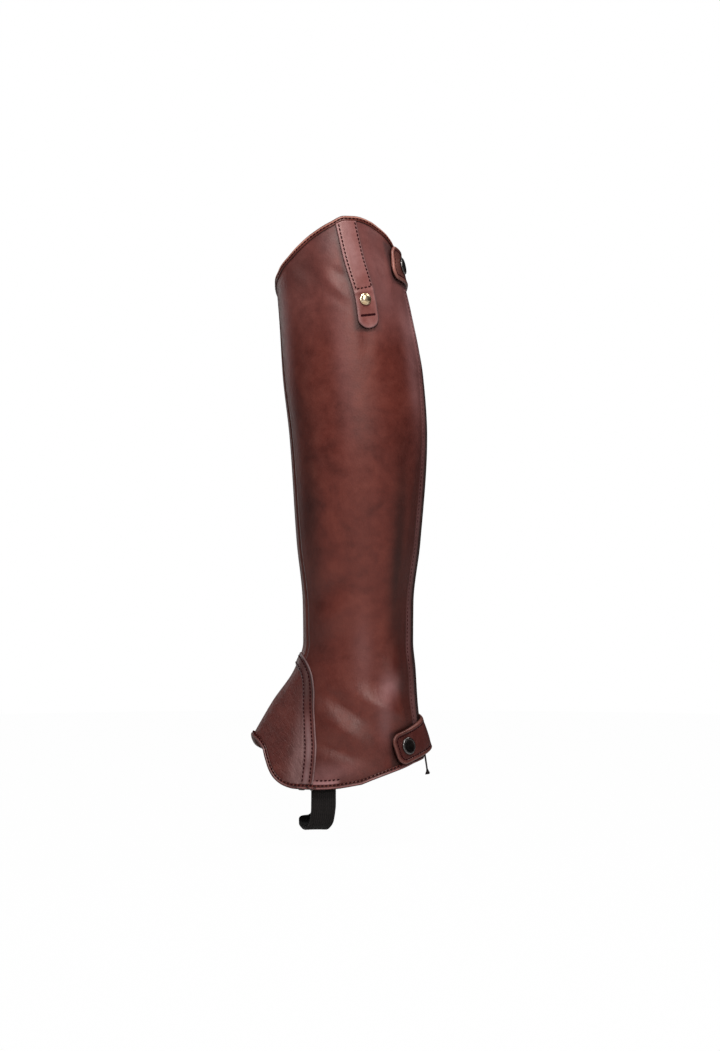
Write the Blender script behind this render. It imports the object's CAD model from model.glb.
"""Half chap: the look of a zipped leather riding gaiter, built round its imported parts.

Front is -X, back is +X, the outer side of the leg is -Y and up is +Z, with the origin on the leg's
axis at the fullest part of the calf. Sizes are in millimetres and become metres where a mesh is made.
A mark is a place on the leg's form: an angle round the leg (0 the shin, 90 the outer side, 180 the
calf, 270 the inner side) and a height.
"""

from __future__ import annotations

import logging
import math
import random
from dataclasses import dataclass, field
from enum import Enum
from functools import cached_property
from typing import Any, Callable, NamedTuple, Sequence

import bmesh
import bpy
import numpy as np
from mathutils import Matrix, Vector

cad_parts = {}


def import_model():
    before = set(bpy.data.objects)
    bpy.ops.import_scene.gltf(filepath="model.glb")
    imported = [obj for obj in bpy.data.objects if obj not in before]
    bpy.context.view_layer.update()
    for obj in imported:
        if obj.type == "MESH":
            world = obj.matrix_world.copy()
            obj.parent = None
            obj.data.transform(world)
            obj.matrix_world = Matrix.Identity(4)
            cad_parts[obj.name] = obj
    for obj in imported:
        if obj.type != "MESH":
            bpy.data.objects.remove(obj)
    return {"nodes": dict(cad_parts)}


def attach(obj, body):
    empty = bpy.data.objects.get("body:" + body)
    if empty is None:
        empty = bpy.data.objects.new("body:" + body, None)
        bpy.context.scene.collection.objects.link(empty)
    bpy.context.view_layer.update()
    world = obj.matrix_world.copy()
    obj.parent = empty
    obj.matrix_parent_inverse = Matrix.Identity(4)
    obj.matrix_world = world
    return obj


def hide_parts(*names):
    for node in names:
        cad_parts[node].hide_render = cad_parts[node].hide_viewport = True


LOG = logging.getLogger("half_chap")
MM = 0.001
MM_PER_DEGREE = 0.87  # of leather, round the calf and the ankle
WELD = 2e-6  # m: points of a mesh that lie closer than this become one
SLIVER = 1e-7  # m: faces thinner than this go
Array = np.ndarray
Piece = bpy.types.Object
Material = bpy.types.Material
Tree = bpy.types.NodeTree
Shell = bmesh.types.BMesh
Inputs = dict[str | int, Any]
Pair = tuple[float, float]
Triple = tuple[float, float, float]


# ---- The leg's form ----


class Section(NamedTuple):
    """One level of the form: the X of shin, widest line and calf, the half widths, the front's pinch."""

    z: float
    front: float
    side: float
    back: float
    outer: float
    inner: float
    pinch: float


class Fold(NamedTuple):
    """A soft fold: where, the way it runs (0 level, 90 upright), its reach, half width and height."""

    angle: float
    z: float
    run: float
    reach: float
    width: float
    height: float


class Mark(NamedTuple):
    """A place on the form."""

    angle: float
    z: float


class Rest(NamedTuple):
    """How a tab lies at a share of its length: its lift off the form at its lower and upper side."""

    share: float
    lower: float
    upper: float


class Stay(NamedTuple):
    """A place on the foot elastic's middle line, and the way its width points."""

    x: float
    y: float
    z: float
    heading: float
    tilt: float


def table(kind: type, rows: Sequence[Sequence[Any]]) -> tuple[Any, ...]:
    """Plain rows as rows of one kind."""
    return tuple(kind(*row) for row in rows)


def smooth(rows: Sequence[Any], key: int, column: int, at: Array) -> Array:
    """Reads a column of a table between its rows, with no overshoot.

    Args:
        rows: the table's rows.
        key: the index of the column that places are measured in.
        column: the index of the column that is read.
        at: the places.

    Returns:
        The value at each place.
    """
    places = np.array([row[key] for row in rows], float)
    values = np.array([row[column] for row in rows], float)
    if places[0] > places[-1]:
        places, values = places[::-1], values[::-1]
    at = np.clip(np.asarray(at, float), places[0], places[-1])
    steps = np.diff(places)
    slopes = np.diff(values) / steps
    bends = np.zeros_like(values)
    bends[0], bends[-1] = slopes[0], slopes[-1]
    before, after = slopes[:-1], slopes[1:]
    left, right = 2 * steps[1:] + steps[:-1], steps[1:] + 2 * steps[:-1]
    same = before * after > 0
    bends[1:-1][same] = (left + right)[same] / (left[same] / before[same] + right[same] / after[same])
    i = np.clip(np.searchsorted(places, at, side="right") - 1, 0, len(steps) - 1)
    t = (at - places[i]) / steps[i]
    rise = t * t * (3 - 2 * t)
    bend = (t**3 - 2 * t * t + t) * bends[i] + (t**3 - t * t) * bends[i + 1]
    return values[i] + (values[i + 1] - values[i]) * rise + bend * steps[i]


class Edge(Enum):
    """The chap's finished edges."""

    TOP = "top_edge"
    HEM = "hem"


def unit(vectors: Array) -> Array:
    """Vectors of length 1, in the same directions."""
    return vectors / np.maximum(np.linalg.norm(vectors, axis=-1, keepdims=True), 1e-12)


def passed_along(path: Array) -> Array:
    """The distance passed along a path at each of its places."""
    return np.concatenate([[0.0], np.cumsum(np.linalg.norm(np.diff(path, axis=0), axis=1))])


@dataclass(frozen=True)
class LegForm:
    """The outer face of the leather, as it stands filled out on a leg."""

    sections: tuple[Section, ...] = table(Section, (
        (176, -72.0, -22, 24.5, 50.0, 49.0, 0.0),
        (134, -68.6, -18, 35.4, 52.0, 51.0, 0.0),
        (93, -65.2, -10, 45.6, 54.5, 53.0, 0.0),
        (41, -62.0, -4, 55.6, 55.5, 54.0, 0.0),
        (-10, -56.3, 0, 58.8, 55.5, 54.0, 0.0),
        (-98, -50.3, 1, 53.2, 47.5, 46.5, 0.0),
        (-150, -45.2, 1, 47.4, 41.5, 40.5, 0.02),
        (-182, -44.8, 1, 47.2, 39.0, 38.0, 0.05),
        (-204, -51.8, 2, 49.2, 39.0, 38.0, 0.16),
        (-232, -70.6, 3, 50.9, 40.5, 39.0, 0.28),
        (-264, -89.2, 4, 54.6, 43.0, 41.0, 0.30),
        (-312, -117.5, 4, 65.5, 46.0, 44.0, 0.30),
    ))
    folds: tuple[Fold, ...] = table(Fold, (
        (79, -252, -35, 25, 8.5, 2.1), (76, -231, -28, 20, 7.5, -2.2), (114, -236, -28, 20, 9.5, 4.2),
        (122, -220, -30, 16, 8, -1.8), (125, -213, -94, 27, 8.5, 3.2), (78, -269, -17, 21, 6.5, -1.8),
        (64, -160, -142, 23, 10, 1.4), (58, -139, -144, 20, 9, -1.0), (66, 120, -38, 20, 6, -1.3),
        (74, 110, -35, 20, 6, 1.0), (262, -222, 40, 34, 10, 1.6), (240, -240, 32, 26, 9, -1.3),
    ))
    creases: tuple[Fold, ...] = table(Fold, (
        (92, 122, -35, 9, 3.8, -0.9), (86, 111, -37, 16, 3.5, 0.85), (80, 104, -33, 14, 3.8, -0.7),
        (107, 77, -94, 27, 7, -0.8), (137, 110, -102, 34, 6, 1.1), (140, 161, -11, 9, 4.2, -1.2),
        (134, 132, -59, 16, 3.4, 1.3), (132, 125, -73, 16, 3.4, -1.3),
    ))
    top_edge: tuple[Mark, ...] = table(Mark, (
        (0, 117), (11, 123), (20, 126.5), (30, 132), (41, 137.5), (56, 146.5), (71, 155.5), (90, 165),
        (104, 170), (114, 170), (132, 166.5), (143, 162.5), (158, 154), (168, 147), (176, 144.5),
        (190, 143.5), (205, 143), (222, 141), (240, 134), (270, 117), (310, 103), (335, 106), (348, 111),
        (360, 117),
    ))
    hem: tuple[Mark, ...] = table(Mark, (
        (0, -260.5), (20, -264), (32, -270.5), (39, -279.5), (46, -290), (50, -295), (56, -300),
        (61, -302), (72, -302.5), (79, -301.6), (87, -299), (100, -294), (114, -289.5), (131, -285),
        (146, -281.5), (174, -279), (200, -279), (240, -280), (270, -280), (310, -277), (333, -271.5),
        (348, -265), (360, -260.5),
    ))
    fold_depth: float = 45.0  # a fold fades out this far behind its own face

    def edge_z(self, edge: Edge, angle: Array) -> Array:
        """The height of a finished edge at each angle."""
        return smooth(getattr(self, edge.value), 0, 1, np.asarray(angle, float) % 360)

    def bare(self, at: Array) -> Array:
        """The outer face before any fold.

        Args:
            at: the marks.

        Returns:
            Their places.
        """
        angle, z = at[..., 0], at[..., 1]
        front, side, back, outer, inner, pinch = (smooth(self.sections, 0, k, z) for k in range(1, 7))
        turn = np.radians(angle)
        ahead, aside = np.cos(turn), np.sin(turn)
        reach = np.where(ahead > 0, side - front, back - side)
        half = np.where(aside > 0, outer, inner)
        y = -half * aside * (1 - pinch * np.maximum(ahead, 0) ** 2)
        return np.stack([side - reach * ahead, y, z], -1)

    @cached_property
    def fold_frames(self) -> list[tuple[Fold, Array, Array, Array, Array]]:
        """Each fold with its middle, the ways along and across it, and the way out of the face."""
        frames = []
        rise = np.array([0.0, 0.0, 1.0])
        for fold in (*self.folds, *self.creases):
            at = np.array([fold.angle, fold.z])
            turn = unit((self.bare(at + (0.5, 0)) - self.bare(at - (0.5, 0))) * (1, 1, 0))
            run = math.radians(fold.run)
            frames.append((fold, self.bare(at), turn * math.cos(run) + rise * math.sin(run),
                           rise * math.cos(run) - turn * math.sin(run), np.cross(turn, rise)))
        return frames

    def fold_height(self, places: Array) -> Array:
        """How far the folds lift the leather.

        Args:
            places: places on the bare form.

        Returns:
            The lift at each place.
        """
        total = np.zeros(places.shape[:-1])
        for fold, middle, along, aside, out in self.fold_frames:
            away = places - middle
            near = np.clip(1 + (away @ out) / self.fold_depth, 0, 1) ** 2
            total += fold.height * near * np.exp(-((away @ along / fold.reach) ** 2)
                                                 - (away @ aside / fold.width) ** 2)
        return total

    def points(self, at: Array) -> Array:
        """The outer face.

        Args:
            at: the marks.

        Returns:
            Their places.
        """
        places = self.bare(at)
        middle = np.stack([smooth(self.sections, 0, 2, at[..., 1]), np.zeros(at.shape[:-1])], -1)
        out = unit(places[..., :2] - middle) * self.fold_height(places)[..., None]
        return places + np.concatenate([out, np.zeros((*at.shape[:-1], 1))], -1)

    def tangents(self, at: Array) -> tuple[Array, Array]:
        """The form's change for each degree round the leg and for each millimetre up it."""
        round_it, up_it = np.array([0.5, 0.0]), np.array([0.0, 0.5])
        return (self.points(at + round_it) - self.points(at - round_it),
                self.points(at + up_it) - self.points(at - up_it))

    def normals(self, at: Array) -> Array:
        """The outward normals."""
        return unit(np.cross(*self.tangents(at)))

    def raised(self, at: Array, lift: Array | float) -> Array:
        """Places moved out of the face along its normal."""
        lift = np.asarray(lift, float)
        return self.points(at) + self.normals(at) * (lift[..., None] if lift.ndim else lift)

    def slid(self, at: Array, way: Array) -> Array:
        """Moves marks by small steps along the face.

        Args:
            at: the marks.
            way: their steps.

        Returns:
            The marks reached.
        """
        turn, rise = self.tangents(at)
        tt, tr, rr = (turn * turn).sum(-1), (turn * rise).sum(-1), (rise * rise).sum(-1)
        wt, wr = (way * turn).sum(-1), (way * rise).sum(-1)
        scale = tt * rr - tr * tr
        return at + np.stack([(wt * rr - wr * tr) / scale, (wr * tt - wt * tr) / scale], -1)

    def reached(self, line: Array) -> Array:
        """The distance passed along a line at each of its marks."""
        return passed_along(self.points(line))

    def length(self, line: Array) -> float:
        """A line's length on the form."""
        return float(self.reached(line)[-1])

    def at_distance(self, line: Array, distance: Array) -> Array:
        """The marks at distances along a line."""
        passed = self.reached(line)
        return np.stack([np.interp(distance, passed, line[:, k]) for k in (0, 1)], -1)

    def spaced(self, line: Array, shares: Sequence[float] | int) -> Array:
        """Marks at shares of a line's length; a number means that many equal shares."""
        if isinstance(shares, int):
            shares = np.linspace(0, 1, shares)
        return self.at_distance(line, np.asarray(shares) * self.length(line))

    def sides(self, line: Array) -> Array:
        """Unit steps along the face to the left of a line, seen from outside, at each mark."""
        ahead = np.gradient(self.points(line), axis=0)
        return unit(np.cross(self.normals(line), ahead))

    def shifted(self, line: Array, distance: float) -> Array:
        """A line moved to its left along the face."""
        return self.slid(line, self.sides(line) * distance)

    def edge_line(self, edge: Edge, start: float, end: float, inset: float) -> Array:
        """The line of a finished edge from one angle to another, lowered by inset."""
        steps = 240
        angle = np.linspace(start, end, steps + 1)
        return np.stack([angle, self.edge_z(edge, angle) - inset], -1)

    def placing(self, at: Mark, lift: float) -> Matrix:
        """The placing of a piece on the form.

        Args:
            at: where it stands.
            lift: how far it stands off the face.

        Returns:
            Its matrix: Z along the normal and Y up.
        """
        spot = np.array([at], float)
        out = Vector(self.normals(spot)[0])
        return placing(Vector(self.raised(spot, lift)[0]), out, Vector(self.tangents(spot)[1][0]))


def turn_to(across: Vector, along: Vector, out: Vector) -> Matrix:
    """The turn that lays the X, Y and Z axes on three directions."""
    return Matrix((across, along, out)).transposed().to_4x4()


def placing(centre: Vector, out: Vector, rise: Vector) -> Matrix:
    """The placing, in metres, of a piece whose Z axis points out and whose Y axis leans to rise."""
    across = rise.cross(out).normalized()
    return Matrix.Translation(centre * MM) @ turn_to(across, out.cross(across), out)


def rounded(rows: Sequence[Sequence[float]], steps: int = 8) -> Array:
    """A smooth line through a short list of places (a Catmull-Rom curve).

    Args:
        rows: the places.
        steps: the steps from one to the next.

    Returns:
        The line's places.
    """
    p = np.array([rows[0], *rows, rows[-1]], float)
    t = np.linspace(0, 1, steps, endpoint=False)[:, None]
    spans = [
        0.5 * (2 * b + (c - a) * t + (2 * a - 5 * b + 4 * c - d) * t**2 + (3 * b - a - 3 * c + d) * t**3)
        for a, b, c, d in zip(p, p[1:], p[2:], p[3:])
    ]
    return np.concatenate([*spans, p[-1:]])


def steps_to(*runs: tuple[float, int]) -> Array:
    """Shares of a length, from 0.

    Args:
        runs: for each, the share that it reaches and its steps.

    Returns:
        The shares.
    """
    found = [0.0]
    for reached, steps in runs:
        found.extend(np.linspace(found[-1], reached, steps + 1)[1:])
    return np.array(found)


# ---- Meshes ----


@dataclass(frozen=True)
class Leather:
    """Leather thicknesses and the small clearances between the layers of a seam."""

    wall: float = 2.0
    seam_gap: float = 0.6
    seam_joint: float = 0.06
    binding_wall: float = 1.0
    binding_gap: float = 0.4
    binding_depth: float = 2.8

    @property
    def inset(self) -> float:
        """How far a panel's cut edge lies inside its finished edge."""
        return self.binding_gap + self.binding_wall

    @property
    def clear(self) -> float:
        """How far from a finished edge the pieces end that stop at its binding."""
        return self.inset + self.binding_depth + self.seam_gap


def as_object(name: str, shell: Shell) -> Piece:
    """Turns a bmesh into a smooth-shaded object in the scene.

    Args:
        name: the object's name.
        shell: the bmesh, which is used up.

    Returns:
        The object.
    """
    mesh = bpy.data.meshes.new(name)
    shell.to_mesh(mesh)
    shell.free()
    piece = bpy.data.objects.new(name, mesh)
    bpy.context.scene.collection.objects.link(piece)
    mesh.shade_smooth()
    return piece


def grid_piece(name: str, places: Array, flat: Array, paints: dict[str, Array] | None = None,
               closed: bool = False) -> Piece:
    """Shapes a grid into a piece.

    Args:
        name: the piece's name.
        places: the places of its points, by row and column.
        flat: their places in the flat cut, for the UV map named Cut.
        paints: values of its points, by name, for its material to read.
        closed: whether the first and last column meet, so that the piece is a sleeve.

    Returns:
        The piece, smooth-shaded.
    """
    rows, columns = places.shape[0] - 1, places.shape[1] - 1
    shell = bmesh.new()
    bmesh.ops.create_grid(shell, x_segments=columns, y_segments=rows, size=1.0)
    share = (np.array([vert.co[:2] for vert in shell.verts]) + 1) / 2
    i, j = np.rint(share[:, 0] * columns).astype(int), np.rint(share[:, 1] * rows).astype(int)
    layers = [(shell.verts.layers.float.new(key), values[j, i])
              for key, values in (paints or {}).items()]
    cut = shell.loops.layers.uv.new("Cut")
    spots, corners = places[j, i] * MM, flat[j, i] * MM
    for k, vert in enumerate(shell.verts):
        vert.co = spots[k]
        for layer, values in layers:
            vert[layer] = values[k]
        for loop in vert.link_loops:
            loop[cut].uv = corners[k]
    if closed:
        bmesh.ops.remove_doubles(shell, verts=shell.verts, dist=WELD)
        rims = [edge for edge in shell.edges if edge.is_boundary]
        bmesh.ops.holes_fill(shell, edges=rims, sides=0)
        bmesh.ops.dissolve_degenerate(shell, edges=shell.edges, dist=SLIVER)
        bmesh.ops.recalc_face_normals(shell, faces=shell.faces)
    return as_object(name, shell)


def walled(piece: Piece, wall: float) -> Piece:
    """Gives a sheet its thickness; its second material is its inner face.

    Args:
        piece: the sheet.
        wall: the thickness.

    Returns:
        The same piece.
    """
    solid = piece.modifiers.new("Wall", "SOLIDIFY")
    solid.thickness = wall * MM
    solid.offset = -1.0
    solid.material_offset = 1
    solid.use_quality_normals = True
    return piece


def turned(name: str, profile: Sequence[Pair], steps: int = 48) -> Piece:
    """Makes a round piece on its own Z axis.

    Args:
        name: the piece's name.
        profile: (radius, height) rows that run down its outer side.
        steps: the number of faces round it.

    Returns:
        The piece.
    """
    shell = bmesh.new()
    spots = [shell.verts.new((radius * MM, 0, height * MM)) for radius, height in profile]
    edges = [shell.edges.new(pair) for pair in zip(spots, spots[1:])]
    bmesh.ops.spin(shell, geom=[*spots, *edges], cent=(0, 0, 0), axis=(0, 0, 1),
                   angle=2 * math.pi, steps=steps, use_merge=True)
    bmesh.ops.remove_doubles(shell, verts=shell.verts, dist=WELD)
    bmesh.ops.recalc_face_normals(shell, faces=shell.faces)
    return as_object(name, shell)


def block(size: Sequence[float], centre: Sequence[float], round_by: float) -> Shell:
    """Makes a box with rounded edges, in millimetres.

    Args:
        size: its size.
        centre: its middle.
        round_by: its edges' radius.

    Returns:
        The box.
    """
    shell = bmesh.new()
    bmesh.ops.create_cube(shell, size=1.0)
    bmesh.ops.scale(shell, vec=size, verts=shell.verts)
    bmesh.ops.translate(shell, vec=centre, verts=shell.verts)
    bmesh.ops.bevel(shell, geom=shell.edges[:], offset=round_by, segments=3, profile=0.5,
                    affect="EDGES", material=-1)
    return shell


def bead(size: Sequence[float], around: int, along: int) -> Shell:
    """Makes a small rounded shape that lies along X, with few faces.

    Args:
        size: its size.
        around: the faces round it.
        along: the faces along it.

    Returns:
        The shape.
    """
    shell = bmesh.new()
    bmesh.ops.create_uvsphere(shell, u_segments=around, v_segments=along, radius=0.5)
    bmesh.ops.rotate(shell, cent=(0, 0, 0), matrix=Matrix.Rotation(math.pi / 2, 3, "Y"), verts=shell.verts)
    bmesh.ops.scale(shell, vec=[part * MM for part in size], verts=shell.verts)
    return shell


def join(body: Shell, part: Shell) -> None:
    """Adds a part to a body.

    Args:
        body: the body.
        part: the part, which is used up.
    """
    mesh = bpy.data.meshes.new("part")
    part.to_mesh(mesh)
    part.free()
    body.from_mesh(mesh)
    bpy.data.meshes.remove(mesh)


def points_in(made: Sequence[Any]) -> list[bmesh.types.BMVert]:
    """The points among the parts that an operator made."""
    return [part for part in made if isinstance(part, bmesh.types.BMVert)]


def placed(piece: Piece, at: Matrix) -> Piece:
    """Moves a piece's mesh to its place, so that its object stays at the origin."""
    piece.data.transform(at)
    return piece


def repeated(name: str, template: Shell, placings: Sequence[Matrix]) -> Piece:
    """Makes one piece of many copies of a small shape, such as a row of stitches.

    Args:
        name: the piece's name.
        template: the small shape, which is used up.
        placings: the copies' places.

    Returns:
        The piece.
    """
    pattern = bpy.data.meshes.new(name + "_one")
    template.to_mesh(pattern)
    template.free()
    base = np.empty(len(pattern.vertices) * 3)
    pattern.vertices.foreach_get("co", base)
    row = bmesh.new()
    for at in placings:
        pattern.transform(at)
        row.from_mesh(pattern)
        pattern.vertices.foreach_set("co", base)
    bpy.data.meshes.remove(pattern)
    return as_object(name, row)


# ---- Finishes ----


def linear(colour: str) -> tuple[float, float, float, float]:
    """An sRGB hex colour as linear RGBA."""
    parts = [int(colour[k:k + 2], 16) / 255 for k in (1, 3, 5)]
    return (*(((c + 0.055) / 1.055) ** 2.4 if c > 0.04045 else c / 12.92 for c in parts), 1.0)


def add(tree: Tree, kind: str, settings: dict[str, Any] | None = None,
        links: Inputs | None = None,
        stops: Sequence[tuple[float, str]] = ()) -> bpy.types.Node:
    """Adds a node.

    Args:
        tree: the tree that it joins.
        kind: its type, without the words ShaderNode.
        settings: its properties.
        links: values and sockets for its inputs.
        stops: the positions and sRGB colours of a colour ramp, in order.

    Returns:
        The new node.
    """
    new = tree.nodes.new("ShaderNode" + kind)
    for name, value in (settings or {}).items():
        setattr(new, name, value)
    for name, value in (links or {}).items():
        if isinstance(value, bpy.types.NodeSocket):
            tree.links.new(value, new.inputs[name])
        else:
            new.inputs[name].default_value = value
    for k, (position, colour) in enumerate(stops):
        elements = new.color_ramp.elements  # a new ramp has two
        element = elements[k] if k < 2 else elements.new(position)
        element.position, element.color = position, linear(colour)
    return new


def new_material(name: str) -> tuple[Material, Tree]:
    """Makes a material with no nodes.

    Args:
        name: its name.

    Returns:
        The material and its tree.
    """
    material = bpy.data.materials.new(name)
    material.use_nodes = True
    material.node_tree.nodes.clear()
    return material, material.node_tree


def per_metre(size: float) -> float:
    """A noise scale whose features are about size millimetres across."""
    return 1.0 / (size * MM)


def bands_per_metre(size: float) -> float:
    """A wave scale whose bands are size millimetres apart."""
    return per_metre(size) * math.pi / 10


@dataclass(frozen=True)
class Finish:
    """A finish made of nodes; each kind of finish gives the inputs of its shader."""

    name: str = "finish"

    def inputs(self, tree: Tree) -> Inputs:
        """The inputs of the shader, from the nodes that this adds to the tree."""
        raise NotImplementedError

    def build(self) -> Material:
        """Makes the material."""
        material, tree = new_material(self.name)
        shader = add(tree, "BsdfPrincipled", links=self.inputs(tree))
        add(tree, "OutputMaterial", links={"Surface": shader.outputs[0]})
        return material


@dataclass(frozen=True)
class SmoothCalf(Finish):
    """Smooth chrome-tanned calf, dyed through and waxed: deep red-brown, clouded where it is rubbed.

    A fine even grain with soft pull-up lines gives it a satin shine that breaks up over wrinkles.
    Its pieces carry values from 0 to 1: Burnish, Soil and Rub tint it, and Crease wrinkles it.
    """

    name: str = "smooth_calf"
    deep: str = "#471A15"
    body: str = "#5F271F"
    light: str = "#73352A"
    dark: str = "#35120E"
    soil: str = "#1C0A08"
    pale: str = "#A07272"
    burnish: float = 0.75
    rub: float = 0.5
    cloud: float = 38.0
    patch: float = 9.0
    grain: float = 1.6  # coarser than real calf's pores of 0.3 mm, so that they show
    grain_depth: float = 0.035
    wrinkle: float = 4.5
    wrinkles: float = 0.22
    wrinkle_run: Triple = (0.0, 0.0, 0.0)
    wrinkle_size: Triple = (1.0, 1.0, 2.9)
    roughness: float = 0.43

    def inputs(self, tree: Tree) -> Inputs:
        """Clouded dye and wax over fine pores and the wrinkles of wear."""
        place = add(tree, "TexCoord").outputs["Object"]
        worn = {key: add(tree, "Attribute", {"attribute_name": key}).outputs["Fac"]
                for key in ("Burnish", "Soil", "Rub", "Crease")}
        cloud = add(tree, "TexNoise", links={
            "Vector": place, "Scale": per_metre(self.cloud), "Detail": 5.0, "Roughness": 0.62,
            "Distortion": 0.6}).outputs["Fac"]
        patch = add(tree, "TexNoise", links={
            "Vector": place, "Scale": per_metre(self.patch), "Detail": 4.0, "Roughness": 0.6}).outputs["Fac"]
        dye = add(tree, "Mix", {"data_type": "FLOAT"}, {0: 0.33, 2: cloud, 3: patch})
        tone = add(tree, "ValToRGB", links={"Fac": dye.outputs[0]},
                   stops=((0.30, self.deep), (0.50, self.body), (0.73, self.light))).outputs["Color"]
        held = add(tree, "Math", {"operation": "MULTIPLY"}, {0: worn["Burnish"], 1: self.burnish})
        uneven = add(tree, "Math", {"operation": "MULTIPLY_ADD"},
                     {0: cloud, 1: 2.2 * self.rub, 2: -0.1 * self.rub})
        bare = add(tree, "Math", {"operation": "MULTIPLY"}, {0: worn["Rub"], 1: uneven.outputs[0]})
        for share, colour in ((held.outputs[0], self.dark), (worn["Soil"], self.soil),
                              (bare.outputs[0], self.pale)):
            tone = add(tree, "Mix", {"data_type": "RGBA"},
                       {"Factor": share, "A": tone, "B": linear(colour)}).outputs["Result"]
        lined = add(tree, "Mapping", {"vector_type": "TEXTURE"},
                    {"Vector": place, "Rotation": self.wrinkle_run, "Scale": self.wrinkle_size})
        lines = add(tree, "TexNoise", links={
            "Vector": lined.outputs["Vector"], "Detail": 6.0, "Scale": per_metre(self.wrinkle),
            "Roughness": 0.68, "Distortion": 0.35})
        depth = add(tree, "Math", {"operation": "MULTIPLY_ADD"}, {0: worn["Crease"], 1: 1.6, 2: 0.35})
        height = add(tree, "Math", {"operation": "MULTIPLY"}, {0: lines.outputs["Fac"], 1: depth.outputs[0]})
        wrinkle = add(tree, "Bump", links={"Height": height.outputs[0], "Distance": self.wrinkles * MM})
        pores = add(tree, "TexVoronoi", {"feature": "F1"}, {"Vector": place, "Scale": per_metre(self.grain)})
        bump = add(tree, "Bump", links={
            "Height": pores.outputs["Distance"], "Distance": self.grain_depth * MM,
            "Normal": wrinkle.outputs["Normal"]})
        gloss = add(tree, "MapRange", links={
            "Value": patch, "From Min": 0.3, "From Max": 0.7, "To Min": self.roughness - 0.05,
            "To Max": self.roughness + 0.07})
        return {"Base Color": tone, "Roughness": gloss.outputs[0], "Normal": bump.outputs["Normal"],
                "IOR": 1.5, "Specular IOR Level": 0.53, "Specular Tint": linear("#FFE3DC")}


@dataclass(frozen=True)
class Suede(Finish):
    """The flesh side of the same hide: napped, darker and matt, as the inside of an unlined chap."""

    name: str = "flesh_side"
    deep: str = "#2A1512"
    light: str = "#43251F"
    nap: float = 1.8

    def inputs(self, tree: Tree) -> Inputs:
        """A fine uneven nap."""
        place = add(tree, "TexCoord").outputs["Object"]
        nap = add(tree, "TexNoise", links={
            "Vector": place, "Scale": per_metre(self.nap), "Detail": 5.0, "Roughness": 0.75}).outputs["Fac"]
        tone = add(tree, "ValToRGB", links={"Fac": nap}, stops=((0.3, self.deep), (0.7, self.light)))
        bump = add(tree, "Bump", links={"Height": nap, "Distance": 0.25 * MM})
        return {"Base Color": tone.outputs["Color"], "Roughness": 0.92, "Normal": bump.outputs["Normal"],
                "Sheen Weight": 0.25}


@dataclass(frozen=True)
class Webbing(Finish):
    """Woven black polyester or covered elastic: matt, with ribs and picks that catch the light."""

    name: str = "ribbed_elastic"
    deep: str = "#0A0808"
    light: str = "#282220"
    rib: float = 1.7
    pick: float = 1.1
    fuzz: float = 0.9
    roughness: float = 0.8

    def inputs(self, tree: Tree) -> Inputs:
        """Ribs along the band and picks across it, with a little fuzz."""
        flat = add(tree, "UVMap", {"uv_map": "Cut"}).outputs["UV"]
        ribs, picks = (
            add(tree, "TexWave", {"wave_type": "BANDS", "bands_direction": way},
                {"Vector": flat, "Scale": bands_per_metre(size), "Distortion": waver, "Detail": 1.0})
            for way, size, waver in (("X", self.rib, 0.4), ("Y", self.pick, 0.6))
        )
        weave = add(tree, "Math", {"operation": "MULTIPLY"},
                    {0: ribs.outputs["Fac"], 1: picks.outputs["Fac"]})
        fuzz = add(tree, "TexNoise", links={"Vector": flat, "Scale": per_metre(self.fuzz), "Detail": 3.0})
        total = add(tree, "Math", {"operation": "MULTIPLY_ADD"},
                    {0: fuzz.outputs["Fac"], 1: 0.4, 2: weave.outputs[0]}).outputs[0]
        tone = add(tree, "ValToRGB", links={"Fac": total}, stops=((0.15, self.deep), (0.95, self.light)))
        bump = add(tree, "Bump", links={"Height": total, "Distance": 0.22 * MM})
        return {"Base Color": tone.outputs["Color"], "Roughness": self.roughness,
                "Normal": bump.outputs["Normal"], "Sheen Weight": 0.04, "Specular IOR Level": 0.2}


@dataclass(frozen=True)
class Thread(Finish):
    """Bonded nylon sewing thread, twisted and waxed: a burgundy so dark that it reads as dots."""

    name: str = "waxed_thread"
    deep: str = "#1B080A"
    light: str = "#3C1317"
    twist: float = 0.8

    def inputs(self, tree: Tree) -> Inputs:
        """The uneven dark of a twisted, waxed ply."""
        place = add(tree, "TexCoord").outputs["Object"]
        twist = add(tree, "TexNoise", links={
            "Vector": place, "Scale": per_metre(self.twist), "Detail": 2.0}).outputs["Fac"]
        tone = add(tree, "ValToRGB", links={"Fac": twist}, stops=((0.3, self.deep), (0.7, self.light)))
        bump = add(tree, "Bump", links={"Height": twist, "Distance": 0.1 * MM})
        return {"Base Color": tone.outputs["Color"], "Roughness": 0.9, "Normal": bump.outputs["Normal"],
                "Specular IOR Level": 0.04}


@dataclass(frozen=True)
class Plating(Finish):
    """Die-cast or pressed metal with a plated face, lightly rubbed on its high edges."""

    name: str = "gunmetal_plate"
    deep: str = "#4C4846"
    light: str = "#8E8886"
    roughness: float = 0.32
    cloud: float = 3.0

    def inputs(self, tree: Tree) -> Inputs:
        """A plated face whose gloss and tone are a little uneven."""
        place = add(tree, "TexCoord").outputs["Object"]
        rub = add(tree, "TexNoise", links={
            "Vector": place, "Scale": per_metre(self.cloud), "Detail": 4.0, "Roughness": 0.6}).outputs["Fac"]
        tone = add(tree, "ValToRGB", links={"Fac": rub}, stops=((0.35, self.deep), (0.7, self.light)))
        gloss = add(tree, "MapRange", links={
            "Value": rub, "To Min": self.roughness - 0.07, "To Max": self.roughness + 0.12})
        bump = add(tree, "Bump", links={"Height": rub, "Distance": 0.03 * MM})
        return {"Base Color": tone.outputs["Color"], "Metallic": 1.0, "Roughness": gloss.outputs[0],
                "Normal": bump.outputs["Normal"]}


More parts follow.
